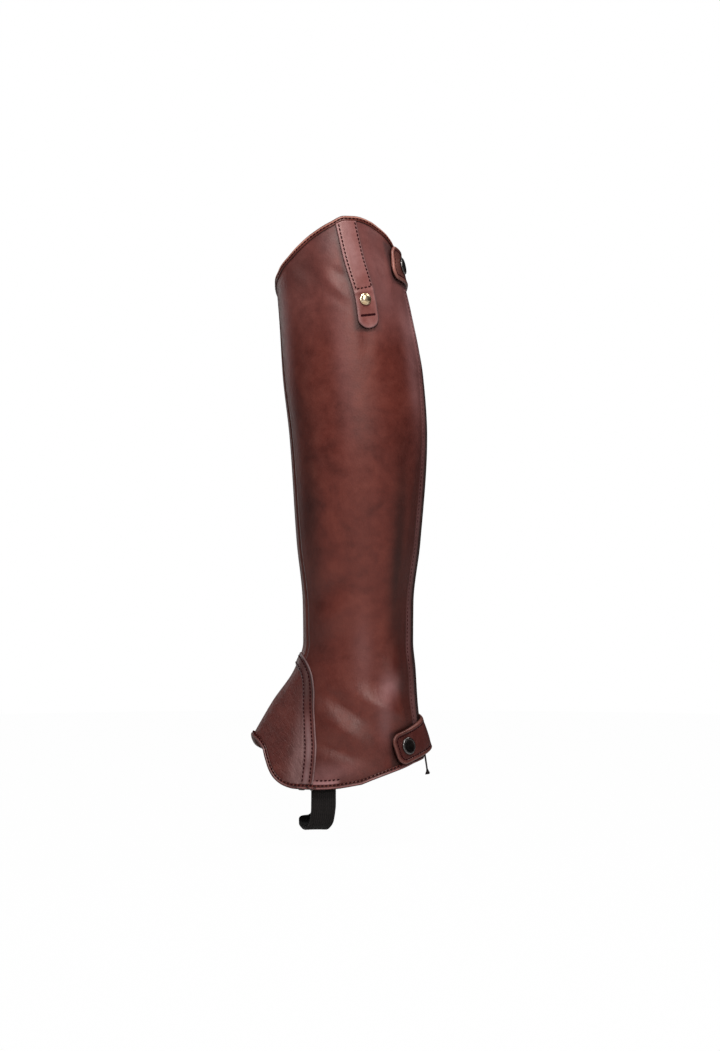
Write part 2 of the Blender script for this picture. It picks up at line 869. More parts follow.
@dataclass(frozen=True)
class Nylon(Finish):
    """Extruded nylon monofilament, black: the smooth satin of zip teeth."""

    name: str = "nylon_coil"
    deep: str = "#100F0F"
    light: str = "#1E1C1C"
    cloud: float = 4.0

    def inputs(self, tree: Tree) -> Inputs:
        """An even black with a faint cloud."""
        place = add(tree, "TexCoord").outputs["Object"]
        cloud = add(tree, "TexNoise", links={"Vector": place, "Scale": per_metre(self.cloud), "Detail": 2.0})
        tone = add(tree, "ValToRGB", links={"Fac": cloud.outputs["Fac"]},
                   stops=((0.2, self.deep), (0.9, self.light)))
        return {"Base Color": tone.outputs["Color"], "Roughness": 0.38, "IOR": 1.53}


class Finishes:
    """Every finish, built once and shared."""

    def __init__(self) -> None:
        """Builds the materials."""
        self.panel = SmoothCalf().build()
        self.vamp = SmoothCalf("vamp_calf", "#3E1613", "#55231E", "#6A322A", pale="#9A7674", rub=0.7,
                               wrinkles=0.68, wrinkle_run=(0.0, math.radians(-32), 0.0),
                               wrinkle_size=(0.7, 1.0, 3.6)).build()
        self.trim = SmoothCalf("trim_calf", wrinkles=0.1, roughness=0.38).build()
        self.edge = SmoothCalf("edge_calf", pale="#C98B7A", rub=0.85, wrinkles=0.1, roughness=0.38).build()
        self.strip = SmoothCalf("strip_calf", "#4A2320", "#5E2E2A", "#703E39", pale="#A38B8C",
                                wrinkles=0.08, roughness=0.38).build()
        self.strap = SmoothCalf("strap_calf", "#66352F", "#7E4843", "#94605B", pale="#B08A8A",
                                wrinkles=0.12, roughness=0.36).build()
        self.tab = SmoothCalf("tab_calf", "#351512", "#481F1B", "#5A2A25", pale="#A0685C", rub=0.4,
                              wrinkles=0.1, roughness=0.38).build()
        self.inside = Suede().build()
        self.elastic = Webbing().build()
        self.tape = Webbing("zip_tape_weave", "#0A0A0A", "#232121", rib=1.2, pick=0.9, roughness=0.75).build()
        self.thread = Thread().build()
        self.gunmetal = Plating().build()
        self.black = Plating("black_lacquer", "#241F1E", "#3A3331", roughness=0.42).build()
        self.brass = Plating("polished_brass", "#DDBD90", "#FFE9C9", roughness=0.3).build()
        self.nylon = Nylon().build()


def dress(piece: Piece, *materials: Material) -> Piece:
    """Gives a piece its materials, in place of any that it has.

    Args:
        piece: the piece.
        materials: the materials, in the order of its slots.

    Returns:
        The same piece.
    """
    piece.data.materials.clear()
    for material in materials:
        piece.data.materials.append(material)
    return piece


# ---- Sewing and fitting ----


def fitted(piece: Piece, node: str, body: str = "half_chap") -> Piece:
    """Puts a piece in the place of a CAD node.

    Args:
        piece: the piece.
        node: the node that it replaces.
        body: the body that it rides on.

    Returns:
        The same piece.
    """
    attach(piece, body)
    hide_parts(node)
    return piece


@dataclass
class Sewing:
    """Lays rows of lock stitches. Every row is gathered, and one piece is made for each sub-assembly."""

    pitch: float = 3.3
    stitch: float = 2.5
    thickness: float = 1.25
    flatness: float = 0.7
    slant: float = 7.0
    play: float = 3.0
    sunk: Pair = (0.18, 0.28)
    rows: dict[str, list[Matrix]] = field(default_factory=dict)
    dice: random.Random = field(default_factory=lambda: random.Random(7))

    def row(self, name: str, path: Array, out: Array, pitch: float | None = None) -> None:
        """Adds a row.

        Args:
            name: the piece that it becomes part of.
            path: its places.
            out: the outward directions there.
            pitch: the distance from one stitch to the next.
        """
        passed = passed_along(path)
        count = max(int(passed[-1] / (pitch or self.pitch)), 1)
        reach = 0.3  # mm: how far before and after its middle a stitch takes its direction from
        for middle in (np.arange(count) + 0.5) * passed[-1] / count:
            a, centre, b = (Vector([np.interp(d, passed, path[:, k]) for k in range(3)])
                            for d in (middle - reach, middle, middle + reach))
            up = Vector([np.interp(middle, passed, out[:, k]) for k in range(3)]).normalized()
            along = (b - a).normalized()
            side = up.cross(along).normalized()
            turn = turn_to(along, side, along.cross(side))
            lean = math.radians(self.slant + self.dice.uniform(-self.play, self.play))
            sunk = Matrix.Translation((0, 0, self.dice.uniform(*self.sunk) * MM))
            place = Matrix.Translation(centre * MM) @ turn @ Matrix.Rotation(lean, 4, "Z") @ sunk
            self.rows.setdefault(name, []).append(place)

    def pieces(self) -> list[Piece]:
        """Makes the gathered rows into pieces."""
        size = self.stitch, self.thickness, self.thickness * self.flatness
        return [repeated(name, bead(size, 6, 5), placings) for name, placings in self.rows.items()]


# ---- The leg panels and the vamp ----


def bell(distance: Array, middle: float, width: float) -> Array:
    """A smooth hump, 1 high, over a distance."""
    return np.exp(-(((distance - middle) / width) ** 2))


def step_down(distance: Array, at: float, width: float) -> Array:
    """1 before a distance and 0 after it, with a soft step of that width."""
    return 0.5 - 0.5 * np.tanh((distance - at) / width)


def rise_over(distance: Array, start: float, end: float) -> Array:
    """0 before a start and 1 after an end, and even between them."""
    return np.clip((distance - start) / (end - start), 0, 1)


def darkened(*distances: Array) -> Array:
    """How far the dye has gathered along edges, from the distances to them."""
    reach = 17.0
    return sum(np.exp(-distance / reach) for distance in distances)


class Outline(NamedTuple):
    """A panel's four edge lines."""

    bottom: Array
    top: Array
    left: Array
    right: Array


@dataclass
class Seams:
    """Where the panels meet, and the marks that their rows and columns end on."""

    form: LegForm
    leather: Leather
    side_rows: int = 54
    arch_outer: int = 34
    arch_inner: int = 60
    shin_rows: int = 190
    outer_columns: int = 92
    inner_columns: int = 72
    meet: int = 7
    front_seam: tuple[Mark, ...] = table(Mark, (
        (27, -202.5), (26, -188), (24, -150), (21, -110), (18, -30), (14, 42), (9.5, 82), (4, 118),
    ))
    vamp_seam: tuple[Mark, ...] = table(Mark, (
        (66, -302.5), (63.8, -276), (60.5, -259), (57, -244), (51.5, -228), (45, -217), (37, -208.5),
        (27, -202.5), (14, -198.5), (0, -197.5), (-14, -200.5), (-28, -208.5), (-40, -221), (-49, -238),
        (-55.5, -258), (-59, -280),
    ))
    zip_line: tuple[Mark, ...] = table(Mark, (
        (174, -285), (174, -60), (175, 20), (180.5, 80), (189, 145),
    ))
    zip_half_gap: float = 8.0
    side_shares: Pair = (0.72, 0.45)  # of the vamp's seam, on its outer and inner side
    zip_shares: Pair = (0.19, 0.23)  # of the zip, up to the top of the vamp's side and arch

    def zip_centre(self, top_inset: float, bottom_inset: float) -> Array:
        """The zip's middle line, from the hem up to the top edge.

        Args:
            top_inset: how far under the top edge it ends.
            bottom_inset: how far over the hem it starts.

        Returns:
            Its marks.
        """
        low = self.form.edge_z(Edge.HEM, self.zip_line[0].angle) + bottom_inset
        high = self.form.edge_z(Edge.TOP, self.zip_line[-1].angle) - top_inset
        steps = 200
        z = np.linspace(low, high, steps + 1)
        return np.stack([smooth(self.zip_line, 1, 0, z), z], -1)

    def on_zip(self, z: float) -> Mark:
        """The place on the zip at a height."""
        return Mark(float(smooth(self.zip_line, 1, 0, np.array([z]))[0]), z)

    def stations(self) -> tuple[Array, Array, Array]:
        """Sets out the marks that the panels share.

        Returns:
            Marks up the vamp seam's outer side, down its inner side, and up the shin seam.
        """
        line = rounded(self.vamp_seam)
        meet = len(line) // (len(self.vamp_seam) - 1) * self.meet
        form, (outer_share, inner_share) = self.form, self.side_shares
        outer = form.spaced(line[:meet + 1], steps_to((outer_share, self.side_rows), (1.0, self.arch_outer)))
        inner = form.spaced(line[meet:], steps_to((inner_share, self.arch_inner), (1.0, self.side_rows)))
        return outer, inner, form.spaced(rounded(self.front_seam), self.shin_rows + 1)

    def ended(self, line: Array, edge: Edge, inset: float, at_start: bool) -> Array:
        """Puts an end of a line on a finished edge.

        Args:
            line: the line.
            edge: the edge.
            inset: how far under the edge it ends.
            at_start: whether it is the line's first end.

        Returns:
            The new line.
        """
        line = line.copy()
        end = 0 if at_start else -1
        line[end, 1] = self.form.edge_z(edge, line[end, 0]) - inset
        return line

    def outline(self, left: Array, right: Array, columns: int) -> Outline:
        """Closes a leg panel at the top edge and at the hem.

        Args:
            left: its left edge line.
            right: its right edge line.
            columns: the number of its columns.

        Returns:
            Its four edge lines.
        """
        inset = self.leather.inset
        left, right = (
            self.ended(self.ended(line, Edge.HEM, -inset, True), Edge.TOP, inset, False)
            for line in (left, right)
        )
        bottom = self.form.edge_line(Edge.HEM, left[0, 0], right[0, 0], -inset)
        top = self.form.edge_line(Edge.TOP, left[-1, 0], right[-1, 0], inset)
        return Outline(self.form.spaced(bottom, columns + 1), self.form.spaced(top, columns + 1), left, right)

    def outlines(self) -> tuple[Outline, Outline, Outline]:
        """Sets out the three panels.

        Returns:
            The edge lines of the inner panel, the vamp and the outer panel.
        """
        form, inset, half = self.form, self.leather.inset, self.leather.seam_joint / 2
        side, arch = self.zip_shares
        outer_seam, inner_seam, shin = self.stations()
        zip_line = self.zip_centre(inset, inset)
        edge = form.shifted(zip_line, -self.zip_half_gap) - np.array([360.0, 0.0])
        edge = form.spaced(edge, steps_to((side, self.side_rows), (arch, self.arch_inner),
                                          (1.0, self.shin_rows)))
        inner = self.outline(edge, form.shifted(np.concatenate([inner_seam[::-1], shin[1:]]), half),
                             self.inner_columns)
        edge = form.spaced(form.shifted(zip_line, self.zip_half_gap),
                           steps_to((side, self.side_rows + self.arch_outer), (1.0, self.shin_rows)))
        outer = self.outline(form.shifted(np.concatenate([outer_seam, shin[1:]]), -half), edge,
                             self.outer_columns)
        seam = form.shifted(np.concatenate([outer_seam, inner_seam[1:]]), half)
        seam = self.ended(self.ended(seam, Edge.HEM, -inset, True), Edge.HEM, -inset, False)
        rows = self.side_rows
        left, right = seam[:-rows - 2:-1], seam[:rows + 1]
        top = seam[-rows - 1:rows - 1:-1]
        bottom = form.spaced(form.edge_line(Edge.HEM, left[0, 0], right[0, 0], -inset), len(top))
        return inner, Outline(bottom, top, left, right), outer


@dataclass
class Panel:
    """A cut piece of the leg: a patch on the form between its four edge lines.

    Relief and wear are functions of the distances to its left and right edge and of the marks.
    """

    name: str
    seams: Seams
    outline: Outline
    fade: Callable[[Array], tuple[Array, Array]]
    relief: Callable[[Array, Array, Array], Array]
    crease: Callable[[Array], Array]
    worn: Callable[[Array, Array, Array], dict[str, Array]]
    ease: Callable[[Array], Array] = np.ones_like

    def spread(self) -> Array:
        """Sets out the rows and columns.

        Returns:
            Their marks, shape (rows, columns, 2).
        """
        bottom, top, left, right = self.outline
        form = self.seams.form
        shares = (form.reached(left) / form.length(left) + form.reached(right) / form.length(right)) / 2
        low, high = (part[:, None] for part in self.fade(shares))
        u = np.linspace(0, 1, len(bottom))[None, :]
        ease = self.ease(shares)[:, None]
        parts = []
        for axis, way in ((0, u), (1, u ** ease)):
            ruled = (1 - way) * left[:, axis, None] + way * right[:, axis, None]
            from_low = bottom[None, :, axis] - (1 - u) * bottom[0, axis] - u * bottom[-1, axis]
            from_high = top[None, :, axis] - (1 - u) * top[0, axis] - u * top[-1, axis]
            parts.append(ruled + low * from_low + high * from_high)
        return np.stack(parts, -1)

    def build(self, finish: Material, inside: Material) -> Piece:
        """Makes the panel, with its thickness.

        Args:
            finish: the finish of its face.
            inside: the finish of its inner face.

        Returns:
            The piece.
        """
        spread = self.spread()
        form = self.seams.form
        points = form.points(spread)
        steps = np.linalg.norm(np.diff(points, axis=1), axis=2)
        from_left = np.concatenate([np.zeros((len(points), 1)), np.cumsum(steps, axis=1)], axis=1)
        from_right = from_left[:, -1:] - from_left
        points = points + form.normals(spread) * self.relief(from_left, from_right, spread)[..., None]
        flat = np.stack([from_left, spread[..., 1]], -1)
        paints = {"Crease": self.crease(points[..., 2]),
                  "Burnish": np.clip(darkened(from_left, from_right), 0, 1),
                  **self.worn(from_left, from_right, spread)}
        piece = grid_piece(self.name, points, flat, paints)
        return dress(walled(piece, self.seams.leather.wall), finish, inside)


class Tone(NamedTuple):
    """A soft patch of rubbed or soiled leather: where, its reach, and how pale (dark, below 0)."""

    angle: float
    z: float
    wide: float
    tall: float
    amount: float


@dataclass
class Upper:
    """The outer panel, the inner panel and the vamp, with the edges turned in at their seams."""

    seams: Seams
    finishes: Finishes
    sewing: Sewing
    facing: float = 9.5
    fold_inset: float = 0.5
    row_inset: float = 2.2
    row_end: float = 5.0
    row_lift: float = 0.22
    patch_angle: Pair = (74.0, 6.5)
    patch_rise: Pair = (5.0, 1.9)
    tones: tuple[Tone, ...] = table(Tone, (
        (56, 126, 15, 18, -0.4), (84, 150, 14, 15, -0.4), (132, 157, 8, 8, -0.35),
        (131, 132, 8, 14, -0.25), (86, 150, 10, 12, 0.32), (27, 62, 8, 42, 0.5),
        (125, 105, 9, 14, -0.3), (42, -70, 12, 100, -0.5), (131, -110, 9, 85, -0.8),
        (87, -276, 8, 5, -0.15), (94, 119, 5, 7, -0.25), (84, 45, 8, 55, 0.3), (95, -190, 9, 28, 0.25),
        (150, 50, 9, 50, 0.7), (122, -217, 9, 10, 0.95), (112, -226, 8, 8, 0.35),
        (114, -246, 7, 18, 0.6),
    ))
    # The width, length and area that each panel is cut to, in metres.
    flats: dict[str, Triple] = field(default_factory=lambda: {
        "outer_shell": (0.205, 0.475, 0.0588),
        "inner_shell": (0.210, 0.440, 0.0645),
        "vamp_shell": (0.150, 0.110, 0.0076),
    })

    def at_seam(self, distance: Array) -> Array:
        """The leather rolls down into a seam, behind a low ridge where its turning lies under it."""
        return -1.1 * np.exp(-distance / 0.75) + 0.28 * bell(distance, 3.0, 1.7)

    def at_zip(self, distance: Array) -> Array:
        """The folded facing beside the zip: a raised strip with a stitched groove behind it."""
        raised = 0.75 * step_down(distance, self.facing - self.fold_inset, 0.25)
        return raised - 0.3 * bell(distance, self.facing - self.row_inset, 0.4)

    def on_vamp(self, left: Array, right: Array, at: Array) -> Array:
        """The vamp rolls down into its seam, behind the ridge of its turning."""
        distance = np.minimum(left, right)
        return 0.55 * bell(distance, 6.2, 1.7) - np.exp(-distance / 0.8)

    def sewn_patch(self, at: Array) -> Array:
        """The doubled leather above the hem, where the elastic is sewn in.

        Args:
            at: the marks.

        Returns:
            1 on it and 0 off it.
        """
        angle = (at[..., 0] + 180) % 360 - 180
        up = at[..., 1] - self.seams.form.edge_z(Edge.HEM, at[..., 0])
        (middle, half), (level, half_rise) = self.patch_angle, self.patch_rise
        return (step_down(np.abs(angle - middle), half, 0.5)
                * step_down(np.abs(up - level), half_rise, 0.3))

    def beside_layers(self, at: Array) -> Array:
        """The waxy grime that gathers along the edges of the tabs and of the strap.

        Args:
            at: the marks.

        Returns:
            Its amount at each mark.
        """
        angle, z = at[..., 0], at[..., 1]
        found = np.zeros(angle.shape)
        for tab in TABS:
            near, end = tab.marks[-2:]
            middle = end.z + (near.z - end.z) * (angle - end.angle) / (near.angle - end.angle)
            beyond = np.maximum((end.angle - angle) * MM_PER_DEGREE, 0)
            aside = np.maximum(np.abs(z - middle) - tab.width / 2, 0)
            found += 0.8 * bell(np.hypot(beyond, aside), 0, 2.8)
        top, _, bend, _, end = Trims.strap_line
        middle = np.interp(z, [end.z, bend.z, top.z], [end.angle, bend.angle, top.angle])
        ahead = (middle - angle) * MM_PER_DEGREE
        aside = np.maximum(np.abs(ahead) - Trims.strap_width / 2, 0)
        away = np.hypot(aside, np.maximum(end.z - z, 0))
        return found + np.where(ahead > 0, 0.85, 0.35) * bell(away, 0, 2.2)

    def beside_zip(self, distance: Array, seam: Array, at: Array) -> dict[str, Array]:
        """The wear of a leg panel.

        Args:
            distance: the distance to the zip.
            seam: the distance to the front seam.
            at: the marks.

        Returns:
            The values of its points, by name.
        """
        fold = self.facing - self.fold_inset
        at_teeth, behind_fold = 0.95 * bell(distance, 0, 1.3), 0.6 * bell(distance, fold + 0.5, 0.5)
        on_facing = 0.4 * step_down(distance, fold, 0.4) * (1 - bell(distance, 0, 2.0))
        on_seam = 0.5 * bell(seam, 1.1, 0.6)
        on_calf = 0.85 * bell(distance, 8.0, 9.0) * bell(at[..., 1], 82, 32)
        return {"Soil": np.clip(at_teeth + behind_fold, 0, 1), "Rub": on_facing + on_seam + on_calf}

    def outer_wear(self, seam: Array, distance: Array, at: Array) -> dict[str, Array]:
        """The wear of the outer panel, with its own rubbed and soiled patches.

        Args:
            seam: the distance to the front seam.
            distance: the distance to the zip.
            at: the marks.

        Returns:
            The values of its points, by name.
        """
        found = self.beside_zip(distance, seam, at)
        angle, z = at[..., 0], at[..., 1]
        up = z - self.seams.form.edge_z(Edge.HEM, angle)
        above_hem = 0.75 * bell(angle, 75, 12) * bell(up, 13, 8)
        under_top = rise_over(z, 60, 100) * (0.18 + 0.3 * bell(angle, 128, 20))
        found["Rub"] += 1.5 * self.sewn_patch(at) + above_hem + under_top
        found["Soil"] = np.clip(found["Soil"] + self.beside_layers(at), 0, 1)
        behind_facing = bell(distance, 12.5, 8) * rise_over(-z, 0, 60)
        found["Burnish"] = np.clip(darkened(seam, distance) + behind_facing, 0, 1)
        for tone in self.tones:
            patch = bell(angle, tone.angle, tone.wide) * bell(z, tone.z, tone.tall)
            found["Rub" if tone.amount > 0 else "Soil"] += abs(tone.amount) * patch
        return found

    def vamp_wear(self, left: Array, right: Array, at: Array) -> dict[str, Array]:
        """The vamp is rubbed behind its seam, most of all low down."""
        low = rise_over(-at[..., 1], 242, 270)
        return {"Rub": bell(np.minimum(left, right), 7.0, 8.0) * (0.25 + 0.45 * low)}

    def crease(self, z: Array) -> Array:
        """Where the leather has broken into wrinkles: over the instep, and a little at the top.

        Args:
            z: the heights.

        Returns:
            0 to 1 at each height.
        """
        instep = -218
        low = 0.6 * bell(np.maximum(z, instep), instep, 38)
        return np.clip(low + 0.45 * bell(z, 118, 30), 0, 1)

    def leg_fade(self, share: Array) -> tuple[Array, Array]:
        """How much of the hem's and of the top edge's run a row of a leg panel follows."""
        return (1 - rise_over(share, 0, 1 / 3)) ** 2, rise_over(share, 0.35, 1) ** 2

    def corner_ease(self, share: Array) -> Array:
        """Draws the inner panel's columns together where the vamp's seam turns into the shin's."""
        start, end, reach, most = 0.0, 0.42, 0.16, 7.0
        return 1 + most * np.maximum(0, np.minimum(rise_over(share, start, reach), (end - share) / reach))

    def build(self) -> list[Piece]:
        """Makes the three panels, and sews the rows beside the zip.

        Returns:
            The panels.
        """
        seams, finishes = self.seams, self.finishes
        form = seams.form
        zip_line = seams.zip_centre(self.row_end, self.row_end)
        for side in (1, -1):
            row = form.shifted(zip_line, side * (seams.zip_half_gap + self.facing - self.row_inset))
            self.sewing.row("facing_stitches", form.raised(row, self.row_lift), form.normals(row))
        inner, vamp, outer = seams.outlines()
        panels = (
            (Panel("outer_shell", seams, outer, self.leg_fade,
                   lambda a, b, at: self.at_seam(a) + self.at_zip(b) + 0.35 * self.sewn_patch(at),
                   self.crease, self.outer_wear), finishes.panel, "outer_panel"),
            (Panel("inner_shell", seams, inner, self.leg_fade,
                   lambda a, b, at: self.at_seam(b) + self.at_zip(a),
                   self.crease, self.beside_zip, self.corner_ease), finishes.panel, "inner_panel"),
            (Panel("vamp_shell", seams, vamp, lambda share: (1 - share, share), self.on_vamp,
                   self.crease, self.vamp_wear), finishes.vamp, "vamp_panel"),
        )
        found = []
        for panel, finish, node in panels:
            piece = fitted(panel.build(finish, finishes.inside), node)
            found.append(piece)
        return found


# ---- Straps, tabs and bindings ----


class Cut(NamedTuple):
    """An end cut along a finished edge, this far above it (below, if less than zero)."""

    edge: Edge
    clear: float


@dataclass
class Strap:
    """A strip laid along a line on the form, closed all round, with rounded edges.

    Places on it are (s, w): the distance along its line, and the distance to the line's left.
    Relief and soil also get the distance in from the outline; lift gets shares of length and width.
    """

    name: str
    form: LegForm
    line: Array
    width: float
    wall: float
    lift: Callable[[Array, Array], Array]
    relief: Callable[[Array, Array, Array], Array]
    soil: Callable[[Array, Array, Array], Array] | None = None
    shine: Callable[[Array, Array], Array] | None = None
    span: Callable[[Array], tuple[Array, Array]] | None = None
    start: Cut | None = None
    end: Cut | None = None
    corner: float = 0.0
    edge: float = 0.6
    step: float = 1.3
    grooves: tuple[float, ...] = ()
    rub: float = 1.0
    rub_reach: float = 0.9
    rim: tuple[float, ...] = (0.0, 0.05, 0.18, 0.38, 0.65)
    column: float = 1.4
    cut_reach: float = 14.0
    side_soil: float = 0.8

    def __post_init__(self) -> None:
        """Samples the line finely."""
        sample = 0.5
        self.length = self.form.length(self.line)
        self.passed = np.linspace(0, self.length, int(self.length / sample) + 2)
        self.fine = self.form.at_distance(self.line, self.passed)
        self.fine_sides = self.form.sides(self.fine)

    def limits(self, s: Array) -> tuple[Array, Array]:
        """How far the strap reaches to each side.

        Args:
            s: the distances along the line.

        Returns:
            The distances of its left and right edge from the line.
        """
        if self.span:
            return self.span(s)
        over = np.clip(s - (self.length - self.corner), 0, self.corner)
        half = self.width / 2 - self.corner + np.sqrt(np.maximum(self.corner**2 - over**2, 0))
        half = np.maximum(half, 0.05)
        return half, -half

    def inward(self, s: Array, w: Array) -> Array:
        """The distance in from the outline.

        Args:
            s: distances along the line.
            w: distances to its left.

        Returns:
            The distance at each place.
        """
        if not self.corner:
            left, right = self.limits(s)
            return np.minimum(left - w, w - right)
        aside = np.abs(w) - (self.width / 2 - self.corner)
        ahead = s - (self.length - self.corner)
        outside = np.hypot(np.maximum(aside, 0), np.maximum(ahead, 0))
        return self.corner - outside - np.minimum(np.maximum(aside, ahead), 0)

    def marks(self, s: Array, w: Array) -> Array:
        """Finds the form under the strap.

        Args:
            s: distances along the line.
            w: distances to its left.

        Returns:
            The mark under each place.
        """
        line = np.stack([np.interp(s, self.passed, self.fine[:, k]) for k in (0, 1)], -1)
        side = unit(np.stack([np.interp(s, self.passed, self.fine_sides[:, k]) for k in range(3)], -1))
        at = self.form.slid(line, side * w[..., None])
        for cut, row, far in ((self.start, 0, s), (self.end, -1, self.length - s)):
            if cut:
                end = np.broadcast_to(self.fine[row], at.shape)
                end = self.form.slid(end, self.fine_sides[row] * w[..., None])
                rise = self.form.edge_z(cut.edge, end[..., 0]) + cut.clear - end[..., 1]
                at[..., 1] += rise * np.maximum(0, 1 - far / self.cut_reach)
        return at

    def lifted(self, s: Array, w: Array) -> Array:
        """How far the under face stands off the form."""
        return self.lift(s / self.length, np.clip(0.5 - w / self.width, 0, 1))

    def crown(self, s: Array, w: Array) -> Array:
        """The height of the upper face over the under face.

        Args:
            s: distances along the line.
            w: distances to its left.

        Returns:
            The height at each place.
        """
        depth = self.inward(s, w)
        near = 1 - np.clip(depth / self.edge, 0, 1)
        rounding = self.edge * (1 - np.sqrt(np.maximum(1 - near**2, 0)))
        return self.wall - rounding + self.relief(s, w, depth)

    def top(self, s: Array, w: Array) -> Array:
        """Places on the upper face."""
        return self.form.raised(self.marks(s, w), self.lifted(s, w) + self.crown(s, w))

    def sewn(self, sewing: Sewing, name: str, s: Array | float, w: Array | float,
             pitch: float | None = None) -> None:
        """Adds a row of stitches along places of the upper face."""
        s, w = np.broadcast_arrays(np.asarray(s, float), np.asarray(w, float))
        sewing.row(name, self.top(s, w), self.form.normals(self.marks(s, w)), pitch)

    def stations(self) -> Array:
        """Sets out the rows, closer together round the corners.

        Returns:
            Their distances along the line.
        """
        straight = self.length - self.corner
        rows = np.linspace(0, straight, max(int(straight / self.step), 2) + 1)
        if not self.corner:
            return rows
        turn = np.sin(np.linspace(0, math.pi / 2, 17))[1:]
        return np.concatenate([rows, straight + self.corner * turn])

    def build(self, finish: Material) -> Piece:
        """Makes the strap.

        Args:
            finish: its finish.

        Returns:
            The piece.
        """
        s = self.stations()
        left, right = self.limits(s)
        near, middle = [*self.rim, *self.grooves], self.width / 2
        count = max(int((middle - near[-1]) / self.column), 1)
        near += list(np.linspace(near[-1], middle, count + 2)[1:-1])
        share = np.array(near) / self.width
        share = np.concatenate([share, [0.5], 1 - share[::-1]])
        under = np.linspace(1, 0, 5)
        u = np.concatenate([[0.0, 0.0], share, [1.0], under])
        top = np.concatenate([[False] * 2, np.ones(len(share), bool), [False] * (1 + len(under))])
        side = np.zeros(len(u))
        side[[1, 2 + len(share)]] = 0.75 * (self.wall - self.edge)
        s, u = np.broadcast_arrays(s[:, None], u[None, :])
        w = left[:, None] + (right - left)[:, None] * u
        height = np.where(top, self.crown(s, w), side)
        points = self.form.raised(self.marks(s, w), self.lifted(s, w) + height)
        depth = self.inward(s, w)
        rub = self.rub * bell(depth, 0.4, self.rub_reach) + (self.shine(s, w) if self.shine else 0.0)
        soil = np.where(top, self.soil(s, w, depth) if self.soil else 0.0, np.full(s.shape, self.side_soil))
        flat = np.stack([w, s], -1)
        piece = grid_piece(self.name, points, flat, {"Rub": rub * top, "Soil": soil}, closed=True)
        return dress(piece, finish)


@dataclass
class Binding:
    """A narrow strip of leather folded over a cut edge and sewn through."""

    name: str
    form: LegForm
    line: Array
    away: int
    groove: float
    step: float = 1.4

    def profile(self) -> Array:
        """The folded strip, seen from its end.

        Returns:
            Rows of (lift off the form, distance over the cut edge), round it.
        """
        ridge = (self.groove + 1.5) / 2
        return np.array([
            (0.05, -2.75), (0.55, -2.85), (0.98, -2.62), (1.17, -2.2), (1.2, -1.75),
            (1.12, self.groove - 0.5), (0.9, self.groove - 0.2), (0.8, self.groove),
            (0.92, self.groove + 0.2), (1.18, self.groove + 0.45),
            (1.36, ridge - 0.3), (1.4, ridge + 0.05), (1.28, ridge + 0.45),
            (0.98, 1.05), (0.5, 1.32), (-0.2, 1.44), (-1.0, 1.46), (-1.8, 1.44), (-2.5, 1.32),
            (-3.05, 1.0), (-3.35, 0.5), (-3.42, -0.2), (-3.4, -1.2), (-3.38, -2.2), (-3.15, -2.7),
            (-2.7, -2.85), (-2.1, -2.7), (-2.02, -1.4), (-2.02, 0.1), (-1.0, 0.3), (0.02, 0.1),
            (0.02, -1.4), (0.05, -2.75),
        ])

    def places(self, line: Array, lift: Array, over: Array) -> Array:
        """Finds places on the binding.

        Args:
            line: the marks of the cut edge.
            lift: lifts off the form.
            over: distances over the cut edge.

        Returns:
            The places, by mark and profile row.
        """
        normals = self.form.normals(line)[:, None]
        sides = self.form.sides(line)[:, None] * self.away
        return self.form.points(line)[:, None] + normals * lift[..., None] + sides * over[..., None]

    def build(self, finish: Material) -> Piece:
        """Makes the binding, a little uneven in its fold as sewn leather is.

        Args:
            finish: its finish.

        Returns:
            The piece.
        """
        rows = int(self.form.length(self.line) / self.step)
        line = self.form.spaced(self.line, rows + 1)
        lift, over = self.profile().T
        along = np.arange(rows + 1)[:, None] * self.step
        waver = 0.10 * np.sin(along / 7.1) + 0.07 * np.sin(along / 3.3 + 1.2)
        swell = 0.05 * np.sin(along / 2.9) + 0.04 * np.sin(along / 1.37)
        outer = (lift > 0.4) & (over < 1.0)
        lifts = lift + np.where(outer, swell, 0)
        overs = over + np.where(outer & (over < self.groove), waver, 0)
        points = self.places(line, lifts, overs)
        flat = np.stack(np.broadcast_arrays(over[None], along), -1)
        rub = np.where(lift > 0, bell(over, 0.1, 0.6), 0.1)
        in_groove, at_cut = bell(over, self.groove, 0.3), rise_over(-over, 2.2, 2.7)
        soil = np.maximum(in_groove, at_cut) * (lift > 0)
        soil = 0.85 * np.maximum(soil, 0.75 * rise_over(over, 0.6, 1.0))
        paints = {"Rub": np.broadcast_to(rub, lifts.shape), "Soil": np.broadcast_to(soil, lifts.shape)}
        return dress(grid_piece(self.name, points, flat, paints, closed=True), finish)

    def sewn(self, sewing: Sewing, over: float, lift: float) -> None:
        """Adds the row of stitches along the binding.

        Args:
            sewing: what gathers the rows.
            over: the row's distance over the cut edge.
            lift: its lift off the form.
        """
        samples = 400
        line = self.form.spaced(self.line, samples)
        path = self.places(line, np.array([[lift]]), np.array([[over]]))[:, 0]
        sewing.row("edge_stitches", path, self.form.normals(line))


